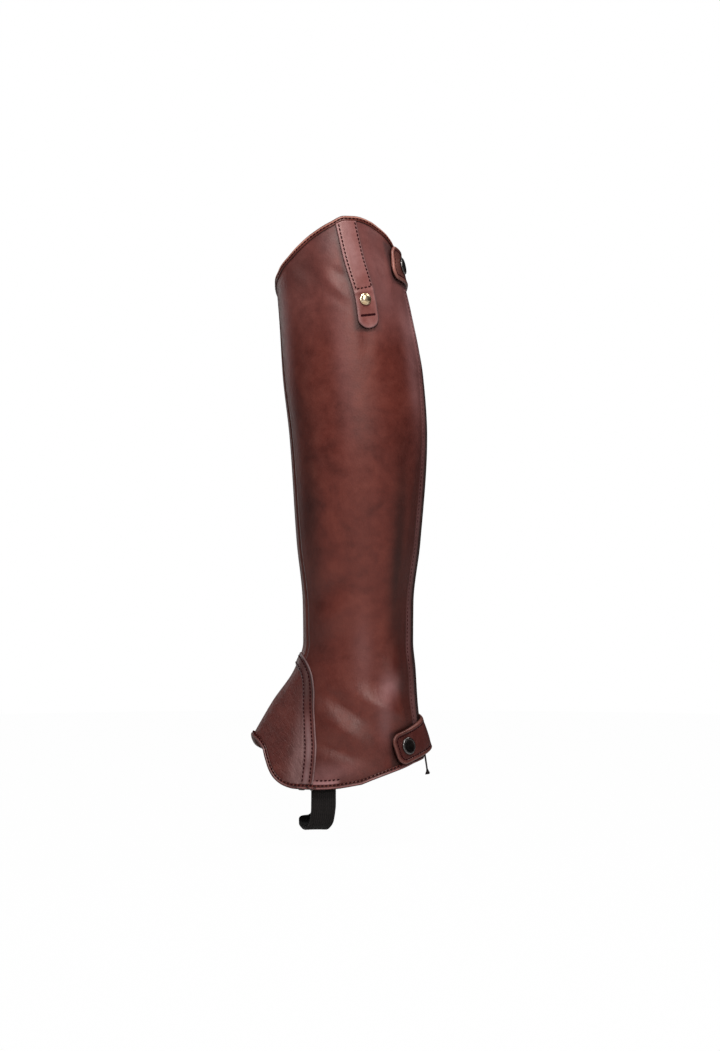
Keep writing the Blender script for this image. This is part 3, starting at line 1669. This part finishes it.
@dataclass
class Edges:
    """The leather folded over the top edge and over the hem."""

    seams: Seams
    finishes: Finishes
    sewing: Sewing
    cut_width: float = 13.5

    def joined(self, *lines: Array) -> Array:
        """Makes one line from the edges of neighbouring panels.

        Args:
            lines: the edges.

        Returns:
            The line.
        """
        found = lines[0]
        for line in lines[1:]:
            found = np.concatenate([found[:-1], [(found[-1] + line[0]) / 2], line[1:]])
        return found

    def build(self) -> list[Piece]:
        """Makes both bindings, with their stitches.

        Returns:
            The bindings.
        """
        inner, vamp, outer = self.seams.outlines()
        form, finishes = self.seams.form, self.finishes
        top, hem = self.joined(inner.top, outer.top), self.joined(inner.bottom, vamp.bottom, outer.bottom)
        found = []
        for node, line, away, groove, finish, row in (
            ("top_binding", top, 1, -0.9, finishes.edge, (-0.9, 0.95)),
            ("hem_binding", hem, -1, -0.7, finishes.trim, (-1.95, 1.2)),
        ):
            binding = Binding(node + "_fold", form, line, away, groove)
            piece = fitted(binding.build(finish), node)
            binding.sewn(self.sewing, *row)
            form.length(line) * MM
            found.append(piece)
        return found


@dataclass
class Trims:
    """The strip over the vamp's seam, and the strap from the top edge with its stud."""

    seams: Seams
    finishes: Finishes
    sewing: Sewing
    gap: float = 0.05
    strip_sides: Pair = (3.6, -7.15)
    strip_rows: Pair = (1.35, 7.35)
    strip_wall: float = 1.0
    strap_width: float = 17.5
    strap_wall: float = 1.8
    strap_line: tuple[Mark, ...] = table(Mark, (
        (104.3, 166), (107, 138), (109.7, 111), (109, 85), (108.5, 77),
    ))
    strap_rows: Pair = (-6.3, 7.1)
    sewn_share: float = 0.63
    held_angles: Pair = (68.0, 81.0)
    held_rise: float = 7.6
    bar_from_end: float = 11.0
    bar_half: float = 6.0
    stud_at: Mark = Mark(108.8, 100.8)
    stud_lift: float = 3.0
    stud_profile: tuple[Pair, ...] = (
        (0, 2.56), (0.4, 2.56), (0.75, 2.55), (1.1, 2.53), (1.6, 2.46), (2.3, 2.27), (3.0, 1.93),
        (3.6, 1.45), (3.95, 1.0), (4.15, 0.78), (4.5, 0.74), (4.8, 0.66), (4.9, 0.45), (4.88, 0.12),
        (4.7, 0.0), (0, 0),
    )

    def strip(self) -> Piece:
        """Makes the strip, which runs from the outer hem over the shin to the inner hem.

        Returns:
            The piece.
        """
        form, clear = self.seams.form, self.seams.leather.clear
        outer_seam, inner_seam, _ = self.seams.stations()
        line = np.concatenate([outer_seam, inner_seam[1:]])
        line = line[line[:, 1] > form.edge_z(Edge.HEM, line[:, 0]) + clear + 2.05]
        line = np.concatenate([line[:1], line, line[-1:]])
        for end in (0, -1):
            line[end, 1] = form.edge_z(Edge.HEM, line[end, 0]) + clear
        cut = Cut(Edge.HEM, clear - 0.5)
        left, right = self.strip_sides
        rows = [left - inset for inset in self.strip_rows]
        middle = sum(rows) / 2

        def sewn(w: Array, width: float) -> Array:
            """1 along the two rows of stitches."""
            return bell(w, rows[0], width) + bell(w, rows[1], width)

        def relief(s: Array, w: Array, depth: Array) -> Array:
            """A filled middle between the sunk rows."""
            return 0.25 * bell(w, middle, 2.2) - 0.12 * sewn(w, 0.4)

        def soil(s: Array, w: Array, depth: Array) -> Array:
            """Dark rows, a dark line inside the edge over the leg, and a dark upper part."""
            return 0.15 * sewn(w, 0.5) + 0.6 * rise_over(s, 50, 75) + 0.6 * bell(w, right + 1.45, 0.45)

        def shine(s: Array, w: Array) -> Array:
            """Pale down its middle, most of all over the hem, and along its edge there."""
            low = rise_over(-s, -62, -37)
            return bell(w, middle, 2.6) * (0.1 + 0.65 * low) + 0.4 * bell(w, right + 0.3, 0.5) * low

        strap = Strap("vamp_strip", form, line, left - right, self.strip_wall,
                      lambda share, across: np.full_like(share, self.gap), relief, soil, shine,
                      lambda s: (np.full_like(s, left), np.full_like(s, right)), cut, cut, edge=0.75,
                      grooves=(0.85, 1.1, 1.35, 1.6, 1.9, 2.3, 2.7, 3.0, 3.25, 3.5, 3.8, 4.2), rub=0.5)
        piece = fitted(strap.build(self.finishes.strip), "vamp_seam_strip")
        for row in rows:
            strap.sewn(self.sewing, "vamp_stitches", np.linspace(1.5, strap.length - 1.5, 600), row)
        return piece

    def elastic_row(self) -> None:
        """Sews the row above the hem that holds the foot elastic's outer end."""
        form = self.seams.form
        angle = np.linspace(*self.held_angles, 30)
        held = np.stack([angle, form.edge_z(Edge.HEM, angle) + self.held_rise], -1)
        self.sewing.row("edge_stitches", form.raised(held, self.gap), form.normals(held))

    def strap(self) -> Piece:
        """Makes the strap: sewn down to a cross row, then a free rounded end under the stud.

        Returns:
            The piece.
        """
        form, clear = self.seams.form, self.seams.leather.clear
        line = rounded(self.strap_line)
        line[0, 1] = form.edge_z(Edge.TOP, line[0, 0]) - clear + 0.5
        length = form.length(line)
        (left, right), cross, bar = self.strap_rows, self.sewn_share, length - self.bar_from_end

        def lift(share: Array, across: Array) -> Array:
            """The free end stands off the leg more and more."""
            return self.gap + 1.25 * rise_over(share, 0.66, 1)

        def relief(s: Array, w: Array, depth: Array) -> Array:
            """Sunk rows and bar, and a hump where the strap comes free of the cross row."""
            sewn = (bell(w, left, 0.4) + bell(w, right, 0.4)) * step_down(s / length, cross, 0.01)
            across = bell(s / length, cross, 0.006) * step_down(np.abs(w), 7.2, 0.4)
            hump = bell(s / length, cross + 0.035, 0.018)
            end = bell(s, bar, 0.55) * step_down(np.abs(w), 6.3, 0.3)
            return 0.5 * hump - 0.1 * sewn - 0.12 * across - 0.3 * end

        strap = Strap("top_strap_leather", form, line, self.strap_width, self.strap_wall, lift, relief,
                      lambda s, w, depth: np.where(w > 0, 0.95, 0.6) * np.clip(1.25 - depth, 0, 1),
                      lambda s, w: 0.5 * step_down(s / length, 0.5, 0.12) * bell(w, -1, 6),
                      start=Cut(Edge.TOP, 0.5 - clear), corner=self.strap_width / 2 - 0.01, edge=0.7,
                      step=0.8, grooves=(1.0, 1.3, 1.5, 1.65, 1.8, 2.0, 2.2, 2.45, 2.7, 3.1), rub=0.4,
                      rub_reach=2.2)
        piece = fitted(strap.build(self.finishes.strap), "top_strap")
        down = np.linspace(1.0, cross * length, 200)
        along_bar = np.linspace(-self.bar_half, self.bar_half, 20)
        for s, w, pitch in ((down, left, 3.2), (down, right, 3.2),
                            (cross * length, np.linspace(left, right, 20), 3.2),
                            (bar - 0.35, along_bar, 1.4), (bar + 0.35, along_bar, 1.4)):
            strap.sewn(self.sewing, "strap_stitches", s, w, pitch)
        return piece

    def stud(self) -> Piece:
        """Makes the stud: a low brass dome on a thin collar, with a small dimple on top."""
        piece = placed(turned("stud_dome", self.stud_profile),
                       self.seams.form.placing(self.stud_at, self.stud_lift))
        return fitted(dress(piece, self.finishes.brass), "strap_stud")

    def build(self) -> list[Piece]:
        """Makes the strip, the strap and the stud."""
        self.elastic_row()
        return [self.strip(), self.strap(), self.stud()]


@dataclass
class SnapTab:
    """A tab sewn to the inner panel, laid over the zip and closed with a snap on the outer panel."""

    name: str
    marks: tuple[Mark, ...]
    rests: tuple[Rest, ...]
    width: float
    snap_from_end: float
    rub: float = 0.6
    sheen: float = 0.0
    wall: float = 2.4
    corner: float = 8.0
    row_inset: float = 3.55
    cap_profile: tuple[Pair, ...] = (
        (0, 1.28), (2.6, 1.26), (3.9, 1.28), (4.6, 1.38), (5.2, 1.58), (5.8, 1.68), (6.35, 1.62),
        (6.85, 1.36), (7.12, 0.95), (7.2, 0.5), (7.12, 0.1), (6.9, 0.0), (0, 0),
    )
    cap_lift: float = 0.3
    dish_radius: float = 5.0

    def lift(self, share: Array, across: Array) -> Array:
        """How far the under face stands off the form at shares of its length and width."""
        lower, upper = smooth(self.rests, 0, 1, share), smooth(self.rests, 0, 2, share)
        return lower + (upper - lower) * across * across

    def relief(self, s: Array, w: Array, depth: Array) -> Array:
        """A rolled border, the stitched groove inside it and a slightly filled middle."""
        roll = 0.42 * np.sin(np.pi * np.clip(depth / 3.2, 0, 1))
        return roll - 0.32 * bell(depth, self.row_inset, 0.45) + 0.12 * rise_over(depth, 4, 8)

    def leather(self, form: LegForm) -> Strap:
        """Lays out the tab's leather along the middle of its marks.

        Args:
            form: the form that it lies on.

        Returns:
            The leather, not yet built.
        """
        line = rounded(self.marks)
        length = form.length(line)
        return Strap(self.name + "_leather", form, line, self.width, self.wall, self.lift, self.relief,
                     lambda s, w, depth: 0.6 * bell(depth, self.row_inset, 0.5),
                     lambda s, w: self.sheen * np.clip(s / length, 0, 1) ** 3,
                     corner=self.corner, edge=0.95, step=0.9, rub=self.rub, rub_reach=1.5,
                     grooves=(1.0, 1.4, 1.8, 2.2, 2.6, 2.9, 3.15, 3.35, 3.55, 3.75, 3.95, 4.2, 4.6, 5.2))

    def sew(self, strap: Strap, sewing: Sewing) -> None:
        """Adds the row of stitches round the tab, inside its border.

        Args:
            strap: the tab's leather.
            sewing: what gathers the rows.
        """
        turn, straight, start = np.linspace(0, math.pi / 2, 12), 60, 2.0
        end, half = strap.length - self.row_inset, self.width / 2 - self.row_inset
        bend = self.corner - self.row_inset
        corner_s, corner_w = end - bend + bend * np.sin(turn), half - bend + bend * np.cos(turn)
        out = np.linspace(start, end - bend, straight)[:-1]
        side = np.full(straight - 1, half)
        s = np.concatenate([out, corner_s, corner_s[::-1], np.linspace(end - bend, start, straight)[1:]])
        w = np.concatenate([side, corner_w, -corner_w[::-1], -side])
        strap.sewn(sewing, "tab_stitches", s, w, 3.0)

    def cap(self, strap: Strap, finishes: Finishes) -> Piece:
        """Makes the snap's cap: a gunmetal rim round a black lacquered dish.

        Args:
            strap: the tab's leather.
            finishes: the finishes.

        Returns:
            The piece.
        """
        piece = turned(self.name.replace("tab", "cap") + "_dish", self.cap_profile, steps=64)
        dress(piece, finishes.gunmetal, finishes.black)
        for face in piece.data.polygons:
            x, y, z = face.center / MM
            face.material_index = int(math.hypot(x, y) < self.dish_radius and z > 0.8)
        at = strap.length - self.snap_from_end
        ahead, rise = 0.05 * strap.length, 0.1 * self.width
        s, w = np.array([at - ahead, at + ahead, at, at, at]), np.array([0, 0, -rise, rise, 0])
        near = strap.form.raised(strap.marks(s, w), strap.lifted(s, w) + self.wall)
        along, up = Vector(near[0] - near[1]), Vector(near[2] - near[3])
        seat = placing(Vector(near[4]), along.cross(up).normalized(), up)
        return placed(piece, seat @ Matrix.Translation((0, 0, self.cap_lift * MM)))

    def build(self, form: LegForm, finishes: Finishes, sewing: Sewing) -> list[Piece]:
        """Makes the tab and its cap.

        Args:
            form: the form.
            finishes: the finishes.
            sewing: what gathers the rows.

        Returns:
            The tab and its cap.
        """
        strap = self.leather(form)
        tab = fitted(strap.build(finishes.tab), self.name)
        self.sew(strap, sewing)
        cap = fitted(self.cap(strap, finishes), self.name.replace("tab", "snap_cap"))
        return [tab, cap]


TABS = (
    SnapTab("top_tab",
            table(Mark, ((216, 119.5), (205, 122.5), (190, 127.5), (180, 129.5), (165, 131.5), (147, 134.5))),
            table(Rest, ((0, 0.4, 0.4), (0.22, 0.5, 1.7), (0.4, 0.6, 1.9), (0.8, 0.9, 2.0), (1, 1.4, 2.0))),
            width=28.5, snap_from_end=19.5, rub=0.95, sheen=0.8),
    SnapTab("bottom_tab",
            table(Mark, ((207, -255.5), (190, -257.5), (174, -259.3), (150, -263.8), (120, -271))),
            table(Rest, ((0, 0.4, 0.4), (0.15, 2.2, 0.4), (0.36, 5.0, 0.5), (0.52, 4.4, 0.6),
                         (0.78, 1.8, 1.5), (1, 4.0, 3.4))),
            width=27.0, snap_from_end=13.0),
)


# ---- The zip and the foot elastic ----


@dataclass
class Zip:
    """The back zip, closed: its tapes, coil, slider and hanging pull."""

    seams: Seams
    finishes: Finishes
    sewing: Sewing
    tape_level: float = -2.7
    tape_wall: float = 0.8
    tape_width: float = 15.0
    tape_end_width: float = 7.6
    coil_top: float = -0.8
    loop: Triple = (3.5, 0.86, 1.3)
    loop_reach: float = 1.25
    tooth_pitch: float = 1.35
    coil_end: float = 14.0
    cord_aside: float = 2.3
    cord_sunk: float = 0.5
    cord_pitch: float = 1.7
    slider_z: float = -264.0
    sharp: float = math.radians(50)

    def tape(self, node: str, side: int) -> Piece:
        """Makes one woven tape, narrower where it passes the bindings.

        Args:
            node: the node that it replaces.
            side: 1 on the outer side of the leg, -1 on the inner.

        Returns:
            The piece.
        """
        form, inset, clear = self.seams.form, self.seams.leather.inset, self.seams.leather.clear
        line = self.seams.zip_centre(inset, inset)
        length, near_edge = form.length(line), 0.05

        def span(s: Array) -> tuple[Array, Array]:
            """The tape's two edges, on its own side of the zip."""
            passed = np.minimum(s, length - s) - (clear - inset)
            far = self.tape_end_width + (self.tape_width - self.tape_end_width) * rise_over(passed, 0, 1.5)
            near = np.full_like(s, near_edge)
            return (far, near) if side > 0 else (-near, -far)

        strap = Strap(node + "_weave", form, line, self.tape_width, self.tape_wall,
                      lambda share, across: np.full_like(share, self.tape_level - self.tape_wall),
                      lambda s, w, depth: -0.12 * bell(depth, 2.4, 0.3), span=span, edge=0.25, step=1.9,
                      grooves=(1.6, 2.1, 2.4, 2.7, 3.2), rub=0.0)
        piece = fitted(strap.build(self.finishes.tape), node)
        return piece

    def coil(self) -> Piece:
        """Makes the coil's loops, which interlock from the two sides.

        Returns:
            The piece.
        """
        form = self.seams.form
        line = self.seams.zip_centre(self.coil_end, self.seams.leather.inset + 1)
        count = int(form.length(line) / self.tooth_pitch * 2)
        line = form.spaced(line, count)
        centres = form.raised(line, self.coil_top - self.loop[2] / 2)
        places = []
        for k, (centre, aside, normal) in enumerate(zip(centres, form.sides(line), form.normals(line))):
            across, out = Vector(aside) * (1 if k % 2 else -1), Vector(normal)
            turn = turn_to(across, out.cross(across), out)
            places.append(Matrix.Translation((Vector(centre) + across * self.loop_reach) * MM) @ turn)
        for offset in (-self.cord_aside, self.cord_aside):
            row = form.shifted(line[::6], offset)
            lifted = form.raised(row, self.coil_top - self.cord_sunk)
            self.sewing.row("coil_cord", lifted, form.normals(row), self.cord_pitch)
        piece = dress(repeated("coil_loops", bead(self.loop, 8, 6), places), self.finishes.nylon)
        return fitted(piece, "zip_coil")

    def metal_part(self, name: str, shell: Shell) -> Piece:
        """Puts a metal part where the slider stands.

        Args:
            name: the part's name.
            shell: its shape, in millimetres.

        Returns:
            The piece.
        """
        bmesh.ops.scale(shell, vec=(MM, MM, MM), verts=shell.verts)
        bmesh.ops.recalc_face_normals(shell, faces=shell.faces)
        at = self.seams.form.placing(self.seams.on_zip(self.slider_z), 0.0)
        piece = placed(as_object(name, shell), at)
        piece.data.set_sharp_from_angle(angle=self.sharp)
        return dress(piece, self.finishes.black)

    def slider(self) -> Piece:
        """Makes the slider: a shield-shaped plate with turned-down sides, and its bridge.

        Returns:
            The piece.
        """
        body = block(size=(10.0, 11.5, 1.1), centre=(0, -0.75, -0.25), round_by=0.4)
        for side in (-1, 1):
            join(body, block(size=(1.2, 11.5, 1.9), centre=(4.4 * side, -0.75, -0.85), round_by=0.35))
        half, wall = 1.2, 0.8
        arch = ((-4.9, -0.1), (-4.9, 1.6), (-3.8, 2.55), (-0.8, 2.7), (2.1, 2.55), (3.1, 1.6), (3.1, -0.1))
        spots = [body.verts.new((-half, y, z)) for y, z in arch]
        spine = [body.edges.new(pair) for pair in zip(spots, spots[1:])]
        made = bmesh.ops.extrude_edge_only(body, edges=spine)["geom"]
        bmesh.ops.translate(body, vec=(2 * half, 0, 0), verts=points_in(made))
        bridge = [part for part in made if isinstance(part, bmesh.types.BMFace)]
        bmesh.ops.recalc_face_normals(body, faces=bridge)
        bmesh.ops.solidify(body, geom=bridge, thickness=wall)
        return fitted(self.metal_part("slider_body", body), "zip_slider")

    def pull(self) -> Piece:
        """Makes the pull: a plate with a window round the bridge, a narrow stem and a thick foot.

        Returns:
            The piece.
        """
        level, wall, foot_half = 0.65, 1.0, 3.3
        plate = bmesh.new()
        head = bmesh.ops.create_grid(plate, x_segments=1, y_segments=1, size=1.0)["verts"]
        bmesh.ops.scale(plate, vec=(3.4, 4.35, 1), verts=head)
        bmesh.ops.translate(plate, vec=(0, -2.65, level), verts=head)
        stem = [edge for edge in plate.edges if all(vert.co.y < -6 for vert in edge.verts)]
        bmesh.ops.inset_region(plate, faces=plate.faces, thickness=1.3)
        window = min(plate.faces, key=lambda face: max(abs(vert.co.x) for vert in face.verts))
        bmesh.ops.delete(plate, geom=[window], context="FACES_ONLY")
        for low, wide in ((-10.0, 2.6), (-27.5, 2.2)):
            made = bmesh.ops.extrude_edge_only(plate, edges=stem)["geom"]
            for vert in points_in(made):
                vert.co = (math.copysign(wide, vert.co.x), low, level)
            stem = [part for part in made if isinstance(part, bmesh.types.BMEdge)
                    and all(abs(vert.co.y - low) < 0.01 for vert in part.verts)]
        bmesh.ops.recalc_face_normals(plate, faces=plate.faces)
        for face in plate.faces:
            if face.normal.z < 0:
                face.normal_flip()
        made = bmesh.ops.extrude_face_region(plate, geom=plate.faces[:])["geom"]
        bmesh.ops.translate(plate, vec=(0, 0, wall), verts=points_in(made))
        bmesh.ops.recalc_face_normals(plate, faces=plate.faces)
        foot = ((-26.6, 0.4), (-25.0, 0.7), (-25.0, 1.6), (-26.6, 1.95), (-28.2, 2.7), (-29.2, 2.7),
                (-29.2, -0.6), (-28.2, -0.6))
        face = plate.faces.new([plate.verts.new((-foot_half, y, z)) for y, z in foot])
        made = bmesh.ops.extrude_face_region(plate, geom=[face])["geom"]
        bmesh.ops.translate(plate, vec=(2 * foot_half, 0, 0), verts=points_in(made))
        corners = [edge for edge in plate.edges if edge.is_manifold and edge.calc_face_angle(0) > 0.4]
        bmesh.ops.bevel(plate, geom=corners, offset=0.2, segments=2, profile=0.5, affect="EDGES", material=-1)
        return fitted(self.metal_part("pull_tag", plate), "zip_pull", "pull")

    def build(self) -> list[Piece]:
        """Makes every piece of the zip; the pull swings on its own body."""
        return [self.tape("zip_tape_outer", 1), self.tape("zip_tape_inner", -1), self.coil(),
                self.slider(), self.pull()]


@dataclass
class FootElastic:
    """The elastic that runs from hem to hem under the boot's arch."""

    finishes: Finishes
    width: float = 20.5
    wall: float = 1.5
    rib: float = 1.28
    rib_height: float = 0.16
    stays: tuple[Stay, ...] = table(Stay, (
        (-27.5, -37.6, -292.5, -10, 0), (-27.5, -38.2, -302, -10, 0), (-27.5, -38.4, -312, -10, 1),
        (-27.8, -37.6, -322, -9, 3), (-29.4, -34.6, -331.4, -6, 5), (-32.2, -28.8, -336, -2, 3),
        (-34.4, -22, -337.4, 0, 0), (-36.0, -12, -337.4, 0, 0), (-37.4, 0, -337.4, 0, 0),
        (-38.3, 12, -337.4, 0, 0), (-38.7, 21.5, -337.2, 0, -3), (-38.3, 28.6, -335.0, 3, -14),
        (-30.2, 33.2, -333.0, 5, -15), (-28.0, 34.8, -325, 9, -8), (-27.8, 35.2, -313, 11, -3),
        (-27.8, 35.0, -298, 12, 0), (-27.8, 34.3, -284, 12, 0), (-27.8, 33.6, -269, 12, 0),
    ))

    def build(self) -> Piece:
        """Makes the band: ribbed along its edges, with round selvages.

        Returns:
            The piece.
        """
        rows = rounded(self.stays, 12)
        middle, turn, tilt = rows[:, :3], np.radians(rows[:, 3]), np.radians(rows[:, 4])
        across = np.stack([np.cos(turn) * np.cos(tilt), np.sin(turn) * np.cos(tilt), np.sin(tilt)], -1)
        inward = unit(np.cross(across, unit(np.gradient(middle, axis=0))))
        passed = passed_along(middle)
        w = np.linspace(-0.5, 0.5, 49) * self.width
        from_edge = self.width / 2 - np.abs(w)
        ribs = self.rib_height * np.cos(w / self.rib * 2 * np.pi) * (0.35 + 0.65 * (from_edge < 4))
        selvage = np.sqrt(np.clip(1 - np.clip(1 - from_edge / 0.6, 0, 1) ** 2, 0, 1))
        half = (self.wall / 2 + 0.05 - self.rib_height + ribs) * selvage
        ring_w = np.concatenate([w, w[::-1][1:]])
        ring_h = self.wall / 2 + np.concatenate([-half, half[::-1][1:]])
        points = (middle[:, None] + across[:, None] * ring_w[None, :, None]
                  + inward[:, None] * ring_h[None, :, None])
        flat = np.stack(np.broadcast_arrays(ring_w[None], passed[:, None]), -1)
        piece = dress(grid_piece("foot_elastic_band", points, flat, closed=True), self.finishes.elastic)
        fitted(piece, "foot_elastic")
        return piece


# ---- The studio ----


class Lamp(NamedTuple):
    """A soft light: its way round from the camera (90 is behind the zip), its place, size and power."""

    name: str
    azimuth: float
    height: float
    distance: float
    wide: float
    tall: float
    power: float


@dataclass
class Studio:
    """A pale floor, soft lights and the camera, level with the middle of the chap; in metres."""

    distance: float = 2.2
    centre: Pair = (0.00294, -0.0845)
    view_height: float = 0.88284
    floor_z: float = -0.352
    floor_radius: float = 1.6
    aim: Triple = (0.0, 0.0, -0.08)
    lamps: tuple[Lamp, ...] = table(Lamp, (
        ("key", 7, 1.2, 1.0, 0.4, 0.4, 17.5),
        ("front", 8, 0.85, 2.2, 0.55, 0.45, 21),
        ("side_front", -75, 0.75, 1.5, 0.8, 0.5, 4),
        ("rim_front", -140, 0.3, 1.6, 0.4, 1.3, 2.5),
        ("rim_back", 118, 1.8, 1.4, 0.4, 0.8, 13),
    ))

    def camera(self) -> None:
        """Adds the camera."""
        lens = bpy.data.cameras.new("camera")
        lens.sensor_width = 36.0
        lens.lens = lens.sensor_width * self.distance / self.view_height
        lens.clip_end = 50.0
        view = bpy.data.objects.new("camera", lens)
        view.location = (self.centre[0], -self.distance, self.centre[1])
        view.rotation_euler = (math.pi / 2, 0, 0)
        bpy.context.scene.collection.objects.link(view)
        bpy.context.scene.camera = view

    def light(self, lamp: Lamp) -> None:
        """Adds a soft light, turned to the object.

        Args:
            lamp: the light.
        """
        box = bpy.data.lights.new(lamp.name, "AREA")
        box.shape = "RECTANGLE"
        box.size, box.size_y, box.energy = lamp.wide, lamp.tall, lamp.power
        turn = math.radians(lamp.azimuth)
        stand = bpy.data.objects.new(lamp.name, box)
        stand.location = (math.sin(turn) * lamp.distance, -math.cos(turn) * lamp.distance, lamp.height)
        stand.rotation_mode = "QUATERNION"
        stand.rotation_quaternion = (stand.location - Vector(self.aim)).to_track_quat("Z", "Y")
        bpy.context.scene.collection.objects.link(stand)

    def surroundings(self) -> None:
        """A white backdrop for the eye, and a dimmer room for reflections."""
        world = bpy.data.worlds.new("studio")
        world.use_nodes = True
        bpy.context.scene.world = world
        tree = world.node_tree
        tree.nodes.clear()
        seen = add(tree, "LightPath").outputs["Is Camera Ray"]
        room = add(tree, "Background", links={"Color": linear("#C3C5C8"), "Strength": 0.06})
        white = add(tree, "Background", links={"Color": linear("#FFFFFF"), "Strength": 1.0})
        mix = add(tree, "MixShader", links={0: seen, 1: room.outputs[0], 2: white.outputs[0]})
        add(tree, "OutputWorld", links={"Surface": mix.outputs[0]})

    def floor(self) -> None:
        """Adds the floor, which goes over into the backdrop."""
        shell = bmesh.new()
        bmesh.ops.create_circle(shell, cap_ends=True, segments=64, radius=self.floor_radius)
        bmesh.ops.translate(shell, vec=(0, 0, self.floor_z), verts=shell.verts)
        disk = as_object("floor", shell)
        material, tree = new_material("white_floor")
        seen = add(tree, "LightPath").outputs["Is Camera Ray"]
        paper = add(tree, "BsdfDiffuse", links={"Color": linear("#DADADA")})
        glow = add(tree, "Emission", links={"Color": linear("#FFFFFF"), "Strength": 1.0})
        faint = add(tree, "MixShader", links={0: 0.985, 1: paper.outputs[0], 2: glow.outputs[0]})
        mix = add(tree, "MixShader", links={0: seen, 1: paper.outputs[0], 2: faint.outputs[0]})
        add(tree, "OutputMaterial", links={"Surface": mix.outputs[0]})
        dress(disk, material)

    def build(self) -> None:
        """Sets the whole studio."""
        bpy.context.scene.view_settings.view_transform = "Standard"
        self.camera()
        for lamp in self.lamps:
            self.light(lamp)
        self.surroundings()
        self.floor()


def main() -> None:
    """Builds every sub-assembly in order."""
    logging.basicConfig(level=logging.INFO, format="%(name)s: %(message)s")
    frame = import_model()
    LOG.info("frame: %d nodes", len(frame["nodes"]))
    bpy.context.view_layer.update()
    Studio().build()
    form, leather, finishes = LegForm(), Leather(), Finishes()
    seams = Seams(form, leather)
    sewing = Sewing()
    pieces = [
        *Upper(seams, finishes, sewing).build(), *Edges(seams, finishes, sewing).build(),
        *Trims(seams, finishes, sewing).build(), *Zip(seams, finishes, sewing).build(),
        FootElastic(finishes).build(),
    ]
    for tab in TABS:
        pieces += tab.build(form, finishes, sewing)
    for row in sewing.pieces():
        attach(dress(row, finishes.thread), "half_chap")
        pieces.append(row)
    for node, finish in (("zip_box", finishes.nylon), ("top_snap_socket", finishes.gunmetal),
                         ("bottom_snap_socket", finishes.gunmetal)):
        for slot in bpy.data.objects[node].material_slots:
            slot.material = finish
    for piece in pieces:
        LOG.info("%s: %d faces", piece.name, len(piece.data.polygons))


if __name__ == "__main__":
    main()
